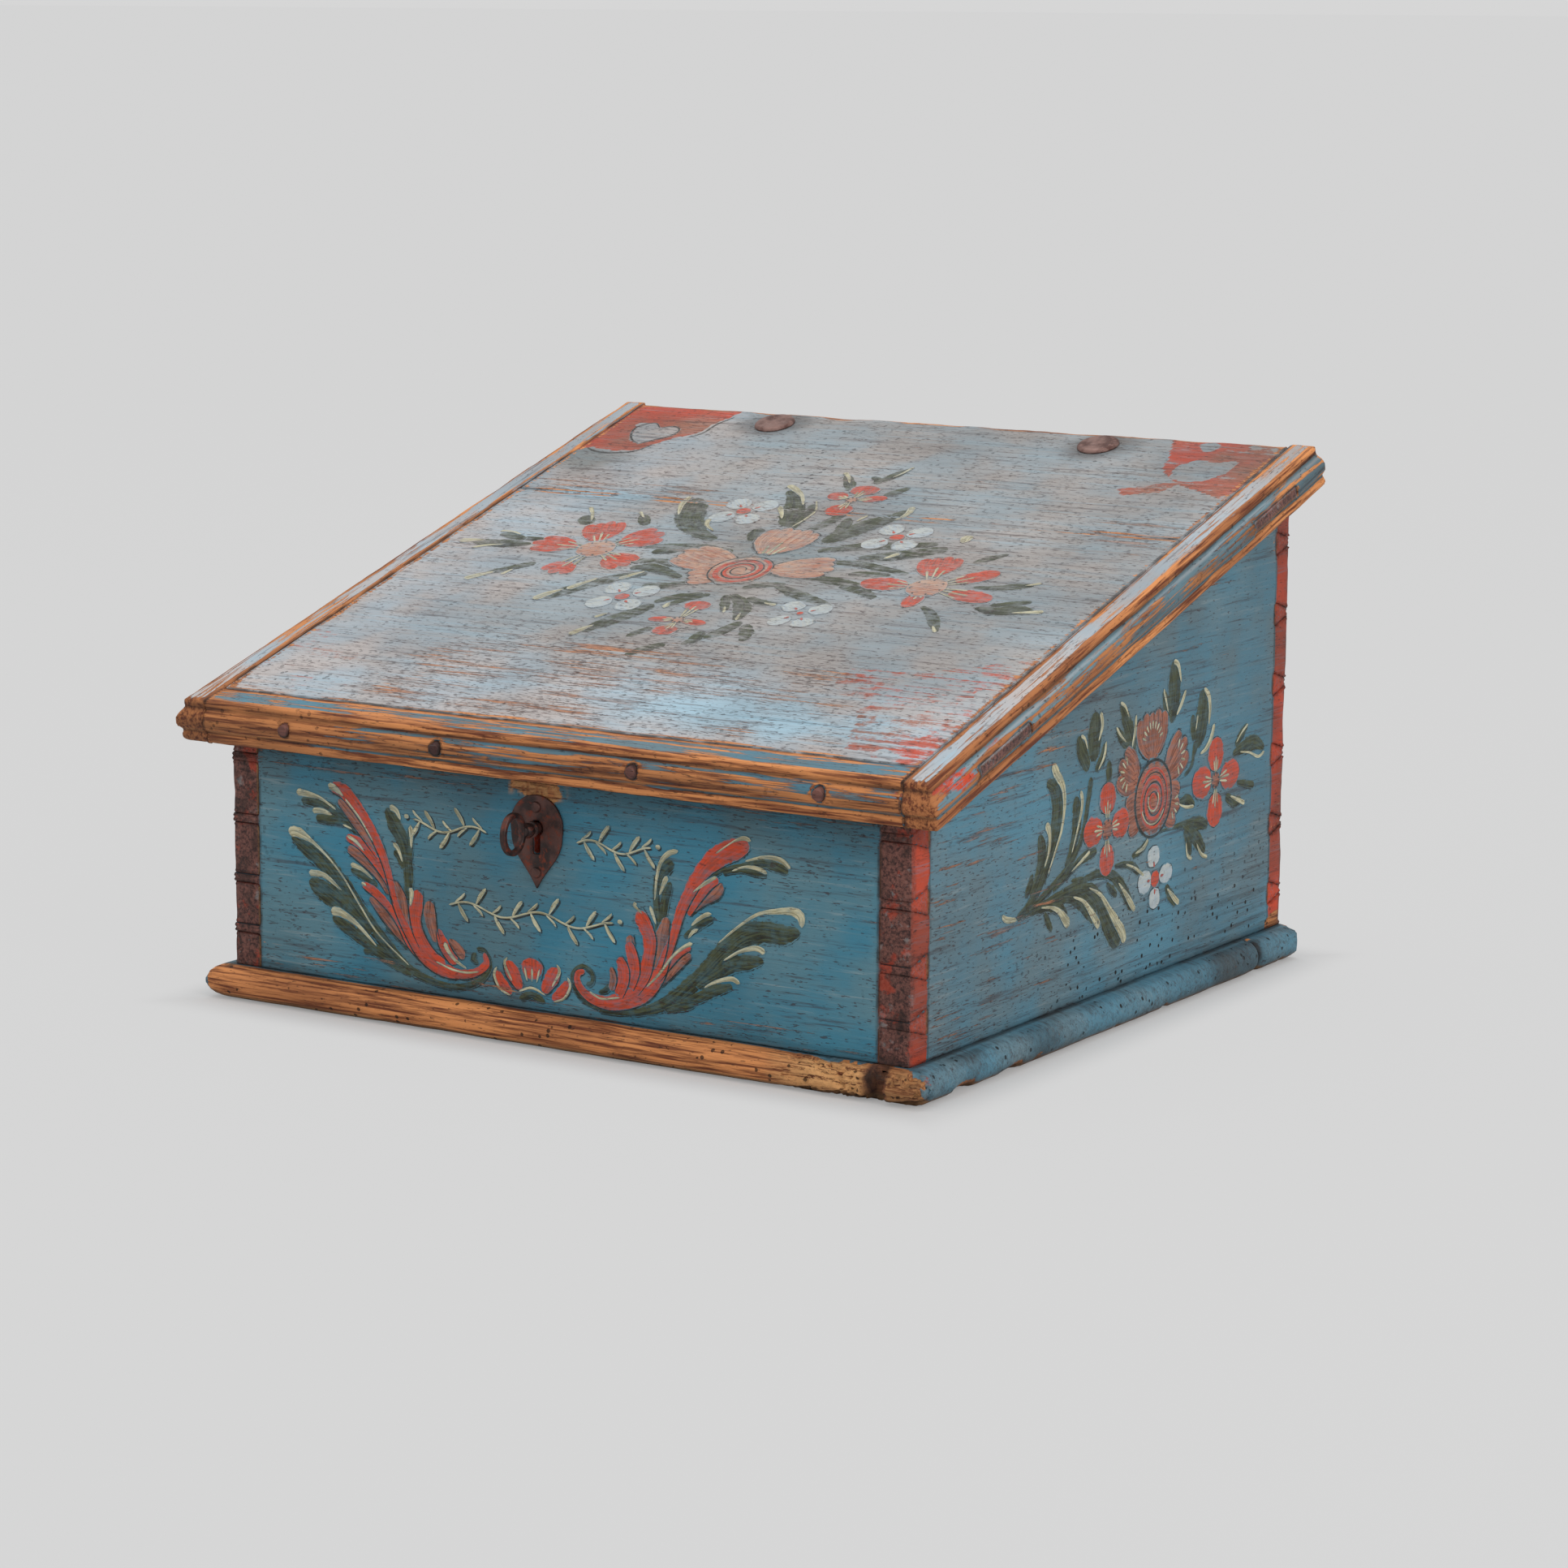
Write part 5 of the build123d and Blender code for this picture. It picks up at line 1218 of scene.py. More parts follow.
def through(points, spacing):
    """Even points on a smooth line through the given ones, with their widths."""
    given = np.array(points, float)
    if len(given) == 2:
        given = np.array([given[0], given.mean(0), given[1]])
    padded = np.vstack([2 * given[0] - given[1], given, 2 * given[-1] - given[-2]])
    line = []
    for i in range(1, len(padded) - 2):
        before, here, after, beyond = padded[i - 1 : i + 3]
        pieces = max(2, int(np.hypot(*(after - here)[:2]) / spacing))
        for t in np.arange(pieces) / pieces:
            bend = (2 * here + (after - before) * t) + (2 * before - 5 * here + 4 * after - beyond) * t**2
            line.append(0.5 * (bend + (3 * here - before - 3 * after + beyond) * t**3))
    return np.array(line + [padded[-2]])


def sideways(line):
    """Direction to the left of a line at each of its points."""
    way = np.gradient(line[:, :2], axis=0)
    way /= np.maximum(np.hypot(way[:, 0], way[:, 1]), 1e-9)[:, None]
    return np.stack([-way[:, 1], way[:, 0]], axis=1)


def toward_light(side):
    """How far a direction on the face points at the lamps."""
    return side[..., 1] * 0.85 - side[..., 0] * 0.5


def stroke_rings(points, seed):
    """Centre, sideways direction, half width and length along the stroke, at each station."""
    line = through(points, station_spacing_mm)
    along = np.concatenate([[0], np.cumsum(np.hypot(*np.diff(line[:, :2], axis=0).T))])
    half = np.maximum(line[:, 2], 0.5) / 2
    for distance, end in ((along, half[0]), (along[-1] - along, half[-1])):
        inside = np.clip(distance / max(end, 0.3), 0, 1)
        half = half * np.sqrt(np.clip(1 - (1 - inside) ** 2, 0.03, 1))
    wobble = np.array([noise.noise(Vector((d * 0.25, seed * 3.3, 0))) for d in along])
    half = half * (1 + width_wobble * wobble)
    return line[:, :2], sideways(line), half, along


def closed_strokes(canvas, strokes, layer):
    """Points, faces and marks of closed strokes, each crowned along its middle and sunk at its rim."""
    sizes = bpy.context.scene.desk_wear
    ring = len(brush_rows) + 2
    points, faces, marks, lit, rim = [], [], [], [], []
    for number, stroke in enumerate(strokes):
        centres, sides, half, along = stroke_rings(stroke, number + layer * layer_seed_step)
        start = len(points)
        for centre, side, width, length in zip(centres, sides, half, along):
            near_tip = max(0.0, 1 - min(length, along[-1] - length) / max(stroke[0][2], 1.5))
            for k, row in enumerate(brush_rows + (1, -1)):
                lift = sizes.paint_body * (layer + 0.5 * (1 - row * row)) + paint_clearance
                a, b = centre + side * width * row
                points.append(canvas.spot(a, b, lift if k < len(brush_rows) else -rim_depth))
                across = (row * width) / bristle_width_mm + number * bristle_shift
                marks.append((length / bristle_length_mm, across))
                lit.append(0.5 + 0.5 * row * toward_light(side))
                rim.append(max(abs(row) ** 2, near_tip**2))
        for station in range(len(centres) - 1):
            first = start + station * ring
            for k in range(ring):
                a, b = first + k, first + (k + 1) % ring
                faces.append((a, a + ring, b + ring, b))
        last = start + (len(centres) - 1) * ring
        faces.append(tuple(start + k for k in range(ring)))
        faces.append(tuple(last + k for k in reversed(range(ring))))
    if not canvas.turned:
        faces = [tuple(reversed(f)) for f in faces]
    return points, faces, marks, lit, rim


def paint(name, canvas, strokes, layer, finish, body, slot):
    """One piece made of the strokes of one colour."""
    points, faces, marks, lit, rim = closed_strokes(canvas, strokes, layer)
    mesh = bpy.data.meshes.new(name)
    mesh.from_pydata([tuple(p) for p in points], [], faces)
    layer_uv = mesh.uv_layers.new(name="stroke")
    for loop in mesh.loops:
        layer_uv.data[loop.index].uv = marks[loop.vertex_index]
    mark(mesh, "lit", np.array(lit))
    mark(mesh, "rim", np.array(rim))
    facing = np.repeat(np.array([canvas.out]), len(points), axis=0)
    for key, values in canvas.marks(rows_of(mesh.vertices, "co"), facing).items():
        if key in ("red", "grime", "rub", "sky", "haze", "worms", "bare"):
            mark(mesh, key, values)
    mesh.materials.append(finish)
    piece = bpy.data.objects.new(name, mesh)
    bpy.context.scene.collection.objects.link(piece)
    only(piece)
    bpy.ops.object.mode_set(mode="EDIT")
    bpy.ops.mesh.select_all(action="SELECT")
    bpy.ops.mesh.normals_make_consistent(inside=False)
    bpy.ops.object.mode_set(mode="OBJECT")
    bpy.ops.object.shade_smooth_by_angle(angle=radians(50))
    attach(piece, body)
    return piece


def petal(x, up, half_width_mm, half_length, turn):
    """Oval stroke whose length points away from the middle of a flower."""
    across, along = cos(turn) * half_length, sin(turn) * half_length
    steps = (-1, -0.8, -0.45, 0, 0.45, 0.8, 1)
    return [(x + across * t, up + along * t, 2 * half_width_mm * sqrt(1.02 - t * t)) for t in steps]


def fan(x, up, half_width_mm, half_length, turn, extra=0.0):
    """Petal laid down in strokes that spread from its base and leave a scalloped tip."""
    lobes = round(half_width_mm / 4)
    if half_width_mm < 10.5:
        return [petal(x, up, half_width_mm + extra, half_length + extra, turn)]
    strokes = []
    for k in range(lobes):
        side = 2 * k / (lobes - 1) - 1
        reach = half_length * (1 - 0.14 * side * side) * (1.06 if k % 2 else 0.97)
        line = []
        for t, spread, broad in ((-1, 0.3, 0.7), (-0.3, 0.85, 1.1), (0.4, 1.0, 1.25), (0.95, 0.92, 0.8)):
            bow = side * half_width_mm * 0.66 * spread
            a = x + cos(turn) * (reach + extra) * t - sin(turn) * bow
            b = up + sin(turn) * (reach + extra) * t + cos(turn) * bow
            line.append((a, b, 2 * half_width_mm / lobes * broad + 2 * extra))
        strokes.append(line)
    return strokes


def around(x, up, angle, radius, width):
    """Stroke point at a distance from a centre."""
    return (x + cos(angle) * radius, up + sin(angle) * radius, width)


def disc(x, up, radius):
    """Round dab."""
    return petal(x, up, radius, radius, 0)


def ring_stroke(x, up, radius, width, start=0.0, end=360.0):
    """Arc of a ring, between two angles in degrees."""
    angles = [radians(start + (end - start) * i / 14) for i in range(15)]
    return [around(x, up, a, radius, width) for a in angles]


def spiral(x, up, inner, outer, turns, width):
    """Line that winds outward and is broadest midway."""
    steps = int(turns * 12)
    line = []
    for i in range(steps + 1):
        t = i / steps
        radius, angle = inner + (outer - inner) * t, 2 * pi * turns * t
        line.append(around(x, up, angle, radius, width * (0.6 + 0.4 * sin(pi * t))))
    return line


def garland(start, end, level, sway, leaves):
    """Wavy stem with comma leaves on alternate sides and a dot beyond its tip."""
    way = 1 if end > start else -1
    spots = [i / 16 for i in range(17)]
    stem = [(start + (end - start) * t, level + sway * sin(2 * pi * t * leaves / 4), 1.2) for t in spots]
    strokes = [stem]
    for i in range(leaves):
        t = (i + 0.5) / leaves
        x, side = start + (end - start) * t, 1 if i % 2 else -1
        up = level + sway * sin(2 * pi * t * leaves / 4)
        strokes.append(((x, up, 0.9), (x + way * 3, up + side * 5, 3), (x + way * 7, up + side * 10, 2.4)))
        small = ((x - way * 2, up, 0.8), (x + way * 3, up - side * 3.5, 1.7), (x + way * 5, up - side * 6, 1))
        strokes.append(small)
    strokes.append(disc(end + way * 4, stem[-1][1] + 1, 1.6))
    return strokes


def rims(strokes, spread=1.1, drop=0.6):
    """Dark strokes a little wider and lower than the given ones."""
    return [[(a + 0.2, b - drop, w + spread) for a, b, w in stroke] for stroke in strokes]


def contours(strokes):
    """Thin dark lines along the shaded side of the broad strokes."""
    lines = []
    for stroke in strokes:
        if max(w for _, _, w in stroke) < contoured_from_mm:
            continue
        line = through(stroke, 4)
        side = sideways(line)
        shaded = -1 if toward_light(side).sum() > 0 else 1
        edge = line[:, :2] + side * (shaded * (line[:, 2] / 2 - 0.2))[:, None]
        fine = contour_width_mm * np.sin(np.linspace(0.35, 2.9, len(edge)))
        lines.append([(a, b, w) for (a, b), w in zip(edge, fine)])
    return lines


def slimmed(strokes, share):
    """The same strokes, with the broad parts narrower."""
    return [[(a, b, w * share if w > 2 else w) for a, b, w in stroke] for stroke in strokes]


def rose(centre, petals, outline, spread):
    """Petals of a large rose, and under the outline's name the wider dark ones beneath them."""
    strokes = {"rose": [], outline: []}
    for x, up, half_width_mm, half_length in petals:
        turn = atan2(up - centre[1], x - centre[0])
        strokes["rose"] += fan(x, up, half_width_mm, half_length, turn)
        strokes[outline] += fan(x, up, half_width_mm, half_length, turn, spread)
    return strokes


def flower(kind, x, up, core, petals):
    """Strokes of one flower, by colour: outlines, petals, rays and the middle."""
    parts = {"shade": [], kind: [], "cream": []}
    for dx, dup, half_width_mm, half_length in petals:
        turn = atan2(dup, dx)
        parts["shade"] += fan(x + dx, up + dup, half_width_mm, half_length, turn, 0.7)
        parts[kind] += fan(x + dx, up + dup, half_width_mm, half_length, turn)
        reach = hypot(dx, dup)
        for spread in (-0.22, 0, 0.22):
            inner, outer = core * 0.9, reach * (0.82 if spread else 0.95)
            if kind == "red":
                ends = ((inner, 0.9), (outer, 1.7))
                parts["cream"].append([around(x, up, turn + spread, *ray_end) for ray_end in ends])
    if kind == "white":
        parts["red_middles"] = [disc(x, up, core)]
        for dx, dup, _, _ in petals:
            ray = [(x + dx * share, up + dup * share, width) for share, width in ((0.5, 2.2), (0.8, 0.9))]
            parts["red_middles"].append(ray)
    else:
        parts["rose_middles"] = [disc(x, up, core)]
        angles = [2 * pi * i / 7 + x for i in range(7)]
        parts["shade_rings"] = [disc(x + cos(a) * core * 0.8, up + sin(a) * core * 0.8, 0.8) for a in angles]
    return parts


def gather(target, source):
    """Adds strokes to the lists of the same colours."""
    for key, strokes in source.items():
        target.setdefault(key, []).extend(strokes)


def dabs(canvas, prefix, strokes, order, finishes, body, slot):
    """Paints the layers of one ornament from the lowest colour up."""
    for layer, key in enumerate(order):
        tint = key.split("_")[0]
        if strokes.get(key):
            paint(f"{prefix}_{key}", canvas, strokes[key], layer + 1, finishes[tint], body, slot)


def paint_set(prefix, fading, *look, **more):
    """The brush colours of one face, over the look of its board."""
    colours = bpy.context.scene.desk_paint
    pairs = {
        "leaf": (colours.leaf_light, colours.leaf),
        "faded": (colours.leaf_light, colours.leaf),
        "rose": (colours.rose, colours.rose_deep),
        "red": (colours.red, colours.red_deep),
        "cream": (colours.cream, colours.cream_deep),
        "white": (colours.white, colours.lid_blue),
        "shade": (colours.shade, colours.leaf),
    }
    if prefix == "lid":
        pairs["rose"] = (colours.rose_pale, colours.rose)
    finishes = {}
    for key, (light, dark) in pairs.items():
        fade = min(1.0, fading + 0.3) if key == "faded" else fading
        finishes[key] = brushed_paint(f"{prefix}_{key}_paint", light, dark, fade, *look, **more)
    return finishes


# ---- Operators ----
case_bare_level = 0.66
lid_bare_level = 0.64
peg_grids = {"bottom_pegs": 1.1 * mm, "lid_strip_pegs": 0.5 * mm}
key_grid = 0.36 * mm
left_cleat_coarser = 1.18
wide_iron_coarser = 1.55
aim_right = 122.1 * mm
aim_up = 141.0 * mm


def lid_look(paints):
    """What the lid's boards and its ornament share."""
    return {"lid": (paints.lid_sky, paints.haze), "flecks": 0.6, "sheen": 0.5}


class DESK_OT_stage(bpy.types.Operator):
    """Adds the floor, the soft lamps, the world and the camera"""

    bl_idname = "desk.stage"
    bl_label = "Stage"

    def execute(self, context):
        stage = context.scene.desk_stage
        self.add_floor(context, stage)
        self.add_world(context, stage)
        self.add_lamps(context)
        self.add_camera(context, stage)
        context.scene.view_settings.view_transform = "Standard"
        return {"FINISHED"}

    def add_floor(self, context, stage):
        """Shadow-catching floor that glows like the backdrop beyond the desk's foot."""
        bpy.ops.object.select_all(action="DESELECT")
        bpy.ops.mesh.primitive_plane_add(size=600, location=(0, 0, 0))
        floor = context.active_object
        floor.name = "floor"
        recipe = Finish("pale_floor")
        recipe.feed(recipe.shader.inputs["Base Color"], stage.floor)
        recipe.shader.inputs["Roughness"].default_value = 0.9
        glow = recipe.add("ShaderNodeEmission", {"Color": stage.floor, "Strength": 1.0})
        rays = recipe.add("ShaderNodeLightPath")
        beyond = 0.0
        for letter, reach in (("X", 225 * mm), ("Y", 216 * mm)):
            past = recipe.maths("SUBTRACT", recipe.maths("ABSOLUTE", recipe.axis(letter)), reach)
            beyond = recipe.maths("MAXIMUM", beyond, past)
        open_floor = recipe.step(beyond, 0.0, 40 * mm, 0.35, 0.94)
        share = recipe.times(rays.outputs["Is Camera Ray"], open_floor)
        mix = recipe.add("ShaderNodeMixShader", {0: share})
        recipe.tree.links.new(recipe.shader.outputs[0], mix.inputs[1])
        recipe.tree.links.new(glow.outputs[0], mix.inputs[2])
        recipe.tree.links.new(mix.outputs[0], recipe.tree.nodes["Material Output"].inputs["Surface"])
        floor.data.materials.append(recipe.material)

    def add_world(self, context, stage):
        """Even white light, and the backdrop's colour for the camera."""
        world = bpy.data.worlds.new("studio")
        context.scene.world = world
        world.use_nodes = True
        tree = world.node_tree
        sky = tree.nodes["Background"]
        sky.inputs["Color"].default_value = (1, 1, 1, 1)
        sky.inputs["Strength"].default_value = 0.6
        wall = tree.nodes.new("ShaderNodeBackground")
        wall.inputs["Color"].default_value = (*stage.floor, 1)
        rays = tree.nodes.new("ShaderNodeLightPath")
        mix = tree.nodes.new("ShaderNodeMixShader")
        tree.links.new(rays.outputs["Is Camera Ray"], mix.inputs[0])
        tree.links.new(sky.outputs[0], mix.inputs[1])
        tree.links.new(wall.outputs[0], mix.inputs[2])
        tree.links.new(mix.outputs[0], tree.nodes["World Output"].inputs["Surface"])

    def add_lamps(self, context):
        """Three softboxes: name, place, size and power."""
        lamps = (
            ("top_softbox", (-0.2, 0.1, 2.4), 1.8, 17),
            ("right_softbox", (2.2, -0.9, 1.2), 1.3, 20),
            ("left_softbox", (-1.9, -2.0, 1.2), 1.4, 6),
        )
        for name, place, size, power in lamps:
            lamp = bpy.data.lights.new(name, "AREA")
            lamp.size, lamp.energy = size, power
            holder = bpy.data.objects.new(name, lamp)
            holder.location = place
            holder.rotation_euler = (Vector((0, 0, 0.12)) - Vector(place)).to_track_quat("-Z", "Y").to_euler()
            context.scene.collection.objects.link(holder)

    def add_camera(self, context, stage):
        """Camera that aims past the middle of the front's foot."""
        turn, rise = stage.azimuth, stage.elevation
        back = Vector((sin(turn) * cos(rise), -cos(turn) * cos(rise), sin(rise)))
        right = Vector((cos(turn), sin(turn), 0))
        upward = back.cross(right)
        right, upward = (
            right * cos(stage.roll) + upward * sin(stage.roll),
            upward * cos(stage.roll) - right * sin(stage.roll),
        )
        camera = bpy.data.cameras.new("camera")
        camera.lens, camera.sensor_width = stage.lens, 36
        holder = bpy.data.objects.new("camera", camera)
        aim = right * aim_right + upward * aim_up + Vector((0, front_y, 0))
        axes = Matrix((right, upward, back)).transposed()
        holder.matrix_world = Matrix.Translation(aim + back * stage.distance) @ axes.to_4x4()
        context.scene.collection.objects.link(holder)
        context.scene.camera = holder


class DESK_OT_case(bpy.types.Operator):
    """Wears and paints the four boards of the case"""

    bl_idname = "desk.case"
    bl_label = "Case boards"

    def execute(self, context):
        paints, sizes = context.scene.desk_paint, context.scene.desk_wear
        blues = (paints.case_blue, paints.case_blue_worn)
        reds = (paints.red, paints.red_deep)
        front_blues = (paints.front_blue, paints.front_blue_worn)
        face = painted_board("front_paint", "x", front_blues, case_bare_level, reds)
        across = painted_board("case_paint_across", "x", blues, case_bare_level, reds)
        along = painted_board("case_paint_along", "y", blues, case_bare_level, reds)
        boards = (
            ("front_board", face, front_marks, sizes.board_grid),
            ("back_board", across, back_marks, sizes.plank_grid),
            ("right_side_board", along, side_marks, sizes.board_grid),
            ("left_side_board", along, side_marks, sizes.plank_grid),
        )
        for node, finish, marks, grid in boards:
            weathered(node, "case", grid, finish, marks, depth=1.3 * mm)
        return {"FINISHED"}


class DESK_OT_bottom(bpy.types.Operator):
    """Wears the bottom planks and eats away the front right corner"""

    bl_idname = "desk.bottom"
    bl_label = "Bottom planks"

    def execute(self, context):
        paints, sizes = context.scene.desk_paint, context.scene.desk_wear
        blues = (paints.case_blue, paints.case_blue_worn)
        reds = (paints.red, paints.red_deep)
        finish = painted_board("bottom_paint", "x", blues, case_bare_level, reds, dirt=0.5)
        weathered("bottom_front_plank", "case", sizes.bottom_grid, finish, bottom_marks, shape=eaten_corner)
        weathered("bottom_rear_plank", "case", sizes.plank_grid, finish, bottom_marks, shape=worn_ends)
        return {"FINISHED"}


class DESK_OT_lid(bpy.types.Operator):
    """Wears and paints the lid's planks, strip and cleats"""

    bl_idname = "desk.lid"
    bl_label = "Lid"

    def execute(self, context):
        paints, sizes = context.scene.desk_paint, context.scene.desk_wear
        blues = (paints.lid_blue, paints.lid_grey)
        reds = (paints.red, paints.rose)
        top = painted_board("lid_paint", "x", blues, lid_bare_level, reds, **lid_look(paints))
        case_blues = (paints.case_blue, paints.case_blue_worn)
        strip = painted_board("moulding_paint_across", "x", case_blues, 0.5, reds, dirt=0.2)
        fresher = (paints.lid_sky, paints.front_blue_worn)
        cleat = painted_board("moulding_paint_along", "slope", blues, 0.53, reds, lid=fresher, dirt=0.5)
        for node in ("lid_front_plank", "lid_rear_plank"):
            weathered(node, "lid", sizes.plank_grid, top, lid_marks, turn=lid_slope)
        mouldings = (
            ("lid_front_strip", strip, 1), ("lid_right_cleat", cleat, 1),
            ("lid_left_cleat", cleat, left_cleat_coarser),
        )
        wear = {"turn": lid_slope, "depth": 0.8 * mm, "wave": 0.1 * mm}
        for node, finish, coarser in mouldings:
            weathered(node, "lid", sizes.moulding_grid * coarser, finish, moulding_marks, **wear)
        return {"FINISHED"}


class DESK_OT_pegs(bpy.types.Operator):
    """Wears the pegs of the bottom and of the lid's front strip"""

    bl_idname = "desk.pegs"
    bl_label = "Pegs"

    def execute(self, context):
        woods = context.scene.desk_wood
        finish = painted_board("peg_wood", "x", (woods.end_grain, woods.end_dark), 0.75)
        for node, body in (("bottom_pegs", "case"), ("lid_strip_pegs", "lid")):
            weathered(node, body, peg_grids[node], finish, depth=0.3 * mm, wave=0.1 * mm)
        return {"FINISHED"}


IRON_ON_CASE = (
    "hinge_leaf_left", "hinge_leaf_right", "hinge_leaf_nails", "escutcheon", "escutcheon_nails", "lock_nails",
)
IRON_ON_LID = (
    "hinge_strap_left", "hinge_strap_right", "hinge_rivet_left", "hinge_rivet_right", "hinge_strap_nails",
    "lid_staple", "lid_staple_nails",
)
IRON_WIDE = ("hinge_strap_left", "hinge_strap_right", "hinge_leaf_left", "hinge_leaf_right")
IRON_KEPT = (
    "lock_case", "lock_guides", "lock_spring", "lock_drill_pin", "lock_ward", "lock_bolt", "hinge_pin_left",
    "hinge_pin_right",
)


class DESK_OT_iron(bpy.types.Operator):
    """Hammers and rusts the ironwork, the lock and the key"""

    bl_idname = "desk.iron"
    bl_label = "Ironwork"

    def execute(self, context):
        irons, sizes = context.scene.desk_iron, context.scene.desk_wear
        plain = forged_iron("forged_iron", irons.dark, irons.brown, irons.rust, 0.42)
        handled = forged_iron("handled_iron", irons.dark, irons.brown, irons.rust, 0.3)
        rubbed = forged_iron("rubbed_iron", irons.brown, irons.rubbed, irons.rubbed, 0.42)
        for nodes, body in ((IRON_ON_CASE, "case"), (IRON_ON_LID, "lid")):
            for node in nodes:
                finish = rubbed if node.startswith("hinge_rivet") else plain
                grid = sizes.iron_grid * (wide_iron_coarser if node in IRON_WIDE else 1)
                weathered(node, body, grid, finish, depth=0.25 * mm, wave=0.09 * mm)
        weathered("key", "key", key_grid, handled, depth=0.1 * mm, wave=0.05 * mm)
        for node in IRON_KEPT:
            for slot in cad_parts[node].material_slots:
                slot.material = plain
        return {"FINISHED"}


class DESK_OT_front_ornament(bpy.types.Operator):
    """Paints the scrolls, the tulip and the small sprigs on the front"""

    bl_idname = "desk.front_ornament"
    bl_label = "Front ornament"

    def execute(self, context):
        paints = context.scene.desk_paint
        across, upward = Vector((1, 0, 0)), Vector((0, 0, 1))
        boards = ["worn_front_board"]
        canvas = Canvas(Vector((0, front_y, 0)), across, upward, Vector((0, -1, 0)), boards, front_marks)
        strokes = {}
        for part in (SCROLL_LEFT, SCROLL_RIGHT, TULIP):
            gather(strokes, part)
        for size in GARLANDS:
            twigs = garland(*size)
            shadows = [[(a + 0.8, b - 0.8, w + 0.3) for a, b, w in twig] for twig in twigs]
            gather(strokes, {"shade": shadows, "cream": twigs})
        strokes["cream"] = slimmed(strokes["cream"], 0.85)
        gather(strokes, {
            "shade": rims(strokes["leaf"], 0.8, 0.4) + rims(strokes["rose"] + strokes["red"], 0.9, 0.5),
            "shade_lines": contours(strokes["red"] + strokes["rose"]),
        })
        blues = (paints.front_blue, paints.front_blue_worn)
        finishes = paint_set("front", 0.35, "x", blues, case_bare_level)
        order = ("shade", "leaf", "rose", "red", "shade_lines", "cream")
        dabs(canvas, "front", strokes, order, finishes, "case", "painted_case")
        return {"FINISHED"}


class DESK_OT_side_ornament(bpy.types.Operator):
    """Paints a bouquet on each side"""

    bl_idname = "desk.side_ornament"
    bl_label = "Side ornament"

    def execute(self, context):
        paints = context.scene.desk_paint
        strokes = {}
        gather(strokes, BOUQUET)
        gather(strokes, rose(SIDE_ROSE, SIDE_ROSE_PETALS, "shade", 1.1))
        for x, up, inner, outer, start, end, number in ROSE_RAYS:
            for i in range(number):
                a = radians(start + (end - start) * i / (number - 1))
                ends = ((inner, 0.9), (outer, 1.9))
                strokes["cream"].append([around(x, up, a, *ray_end) for ray_end in ends])
        gather(strokes, {
            "rose_middles": [disc(*SIDE_ROSE, 22)],
            "red_middles": [spiral(260, 118, 2, 18.5, 3.4, 2.8)],
            "shade_rings": [ring_stroke(*SIDE_ROSE, 21.5, 1.8), spiral(260.8, 117.4, 4, 17, 2.4, 1.0)],
            "cream_rings": [
                ring_stroke(260, 118, 6, 1.2, 150, 400), ring_stroke(*SIDE_ROSE, 14.5, 0.9, 200, 330),
            ],
        })
        for kind, x, up, core, petals in SIDE_FLOWERS:
            gather(strokes, flower(kind, x, up, core, petals))
        order = (
            "shade", "leaf", "rose", "red", "white", "cream", "rose_middles", "red_middles", "shade_rings",
            "cream_rings",
        )
        strokes["cream"] = slimmed(strokes["cream"], 0.85)
        gather(strokes, {"shade": rims(strokes["leaf"], 0.7, 0.3)})
        finishes = paint_set("side", 0.3, "y", (paints.case_blue, paints.case_blue_worn), case_bare_level)
        for name, way in (("right", 1), ("left", -1)):
            origin, out = Vector((way * half_width, front_y, 0)), Vector((way, 0, 0))
            boards = [f"worn_{name}_side_board"]
            canvas = Canvas(origin, Vector((0, 1, 0)), Vector((0, 0, 1)), out, boards, side_marks)
            dabs(canvas, f"{name}_side", strokes, order, finishes, "case", "painted_case")
        return {"FINISHED"}


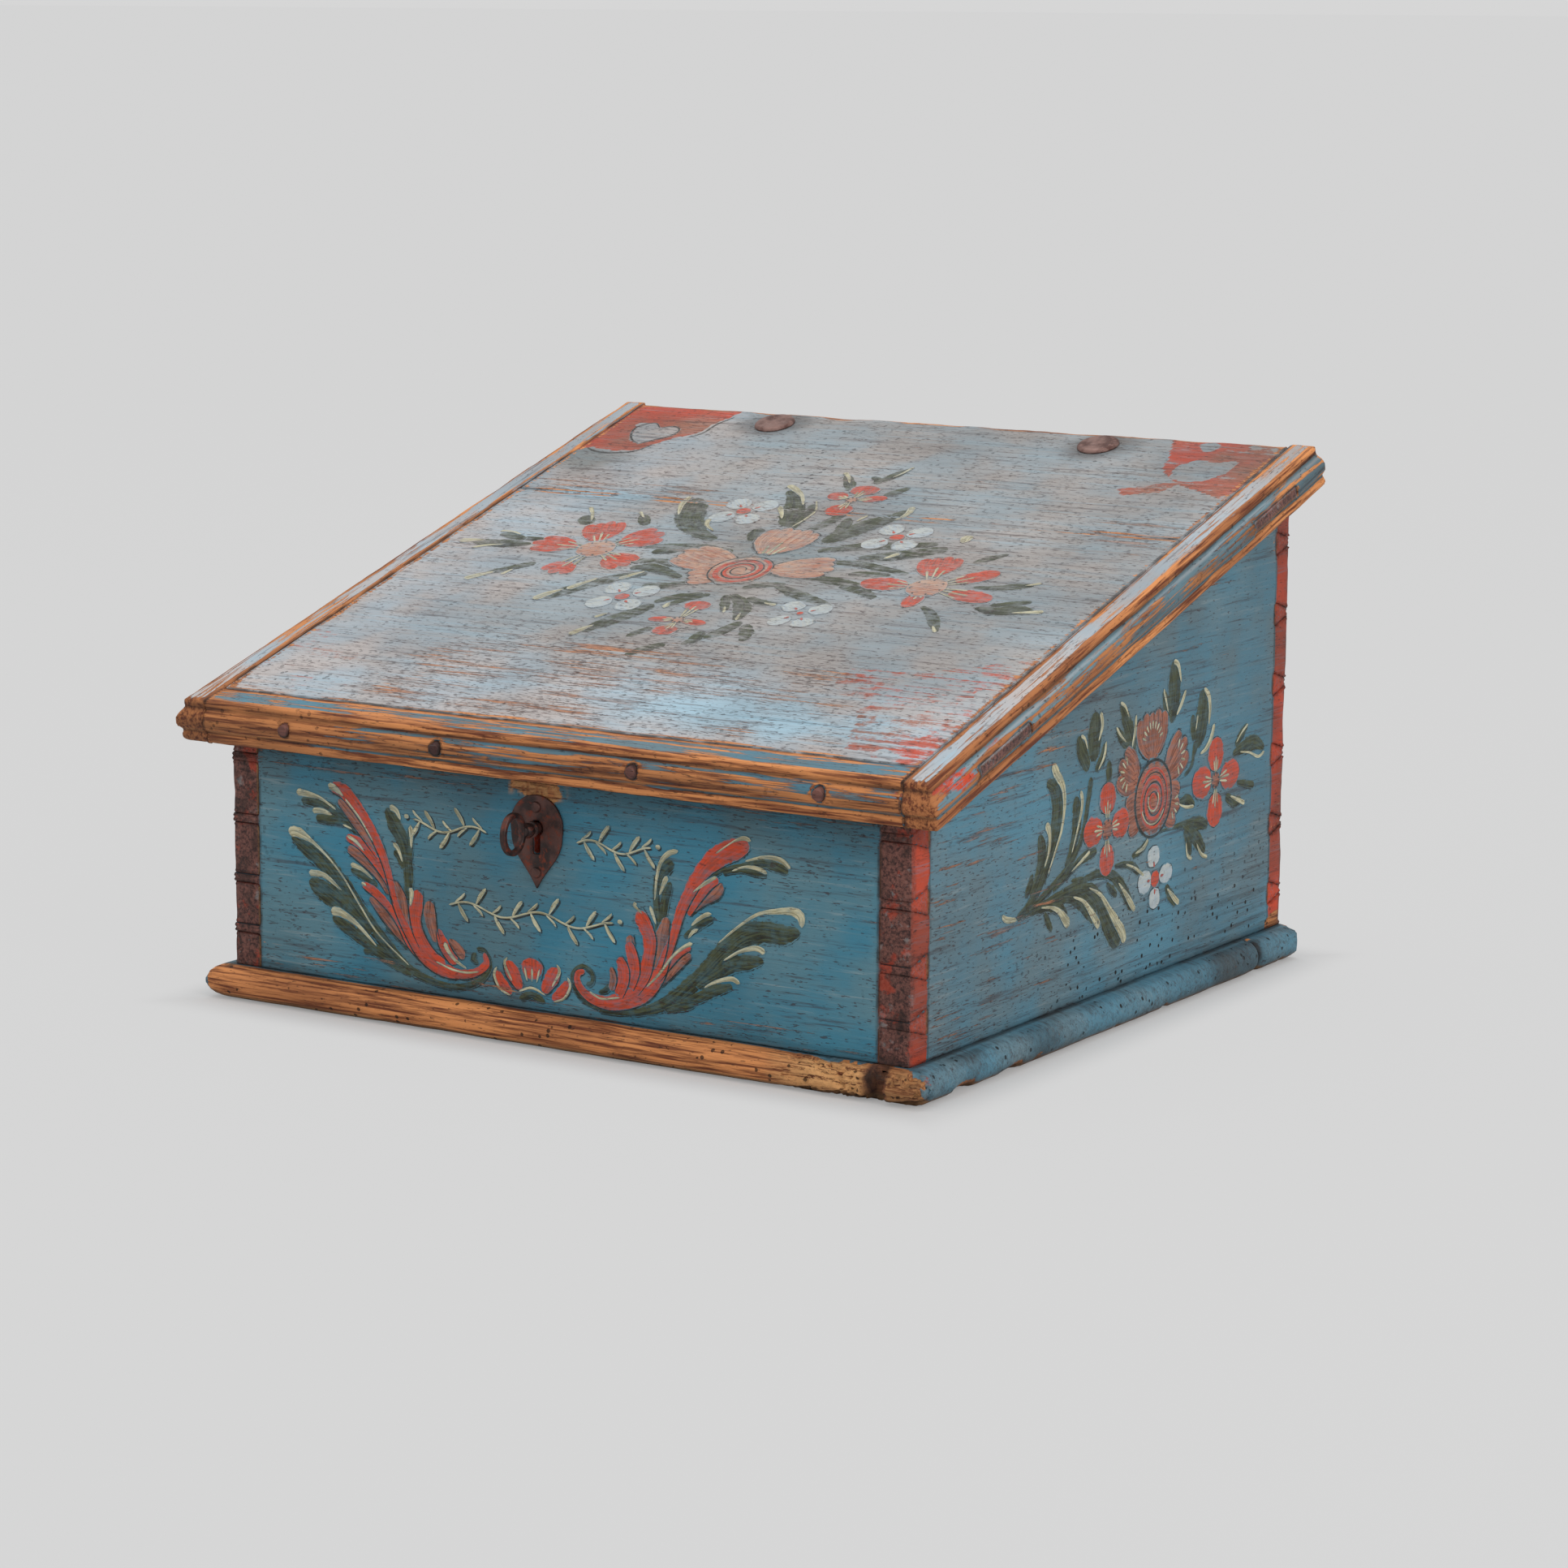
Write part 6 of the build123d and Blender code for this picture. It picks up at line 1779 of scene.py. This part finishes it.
class DESK_OT_lid_ornament(bpy.types.Operator):
    """Paints the faded bouquet and the corner outlines on the lid"""

    bl_idname = "desk.lid_ornament"
    bl_label = "Lid ornament"

    def execute(self, context):
        paints = context.scene.desk_paint
        origin = lid_start + lid_normal * lid_thickness
        boards = ["worn_lid_front_plank", "worn_lid_rear_plank"]
        canvas = Canvas(origin, Vector((1, 0, 0)), up_slope, lid_normal, boards, lid_marks)
        strokes = {}
        gather(strokes, LID_LEAVES)
        strokes["shade"] = [HEART_LINE, HEART_LINE_RIGHT, SCALLOP_LINE, SCALLOP_LINE_UP]
        gather(strokes, rose(LID_ROSE, LID_ROSE_PETALS, "shade_lid_rims", 1.0))
        gather(strokes, {
            "rose_middles": [disc(*LID_ROSE, 19)],
            "red_middles": [spiral(*LID_ROSE, 7, 17.5, 2.2, 4.2)],
            "shade_rings": [spiral(*LID_ROSE, 3, 15, 2.4, 1.2), ring_stroke(*LID_ROSE, 19, 0.9, 20, 250)],
            "cream": [
                ((-13, 248, 1.4), (-10, 236, 2.2)), ((-7, 254, 1.4), (-7, 236, 2.4)),
                ((-1, 248, 1.4), (-4, 236, 2)),
            ],
        })
        for kind, x, up, core, petals in LID_FLOWERS:
            parts = flower(kind, x, up, core, petals)
            del parts["shade"]
            gather(strokes, parts)
        order = (
            "faded", "leaf", "shade", "shade_lid_rims", "rose", "red", "white", "cream", "rose_middles",
            "red_middles", "shade_rings",
        )
        blues = (paints.lid_blue, paints.lid_grey)
        finishes = paint_set("lid", 0.5, "x", blues, lid_bare_level, **lid_look(paints))
        dabs(canvas, "lid", strokes, order, finishes, "lid", "painted_lid")
        return {"FINISHED"}


class DESK_PT_panel(bpy.types.Panel):
    """Lists the steps that build the looks of the desk"""

    bl_label = "Lap desk"
    bl_space_type = "VIEW_3D"
    bl_region_type = "UI"
    bl_category = "Lap desk"

    def draw(self, context):
        for step in STEPS:
            self.layout.operator(step.bl_idname)


STEPS = (
    DESK_OT_stage, DESK_OT_case, DESK_OT_bottom, DESK_OT_lid, DESK_OT_pegs, DESK_OT_iron,
    DESK_OT_front_ornament, DESK_OT_side_ornament, DESK_OT_lid_ornament,
)
GROUPS = {
    "desk_paint": PaintColours, "desk_wood": WoodColours, "desk_iron": IronColours, "desk_wear": WearSizes,
    "desk_stage": StageSettings,
}


def register():
    for group in GROUPS.values():
        bpy.utils.register_class(group)
    for step in STEPS:
        bpy.utils.register_class(step)
    bpy.utils.register_class(DESK_PT_panel)
    for name, group in GROUPS.items():
        setattr(bpy.types.Scene, name, PointerProperty(type=group))


def unregister():
    for name in GROUPS:
        delattr(bpy.types.Scene, name)
    bpy.utils.unregister_class(DESK_PT_panel)
    for step in reversed(STEPS):
        bpy.utils.unregister_class(step)
    for group in GROUPS.values():
        bpy.utils.unregister_class(group)


def main():
    register()
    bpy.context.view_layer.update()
    for step in STEPS:
        module, action = step.bl_idname.split(".")
        getattr(getattr(bpy.ops, module), action)()


if __name__ == "__main__":
    main()
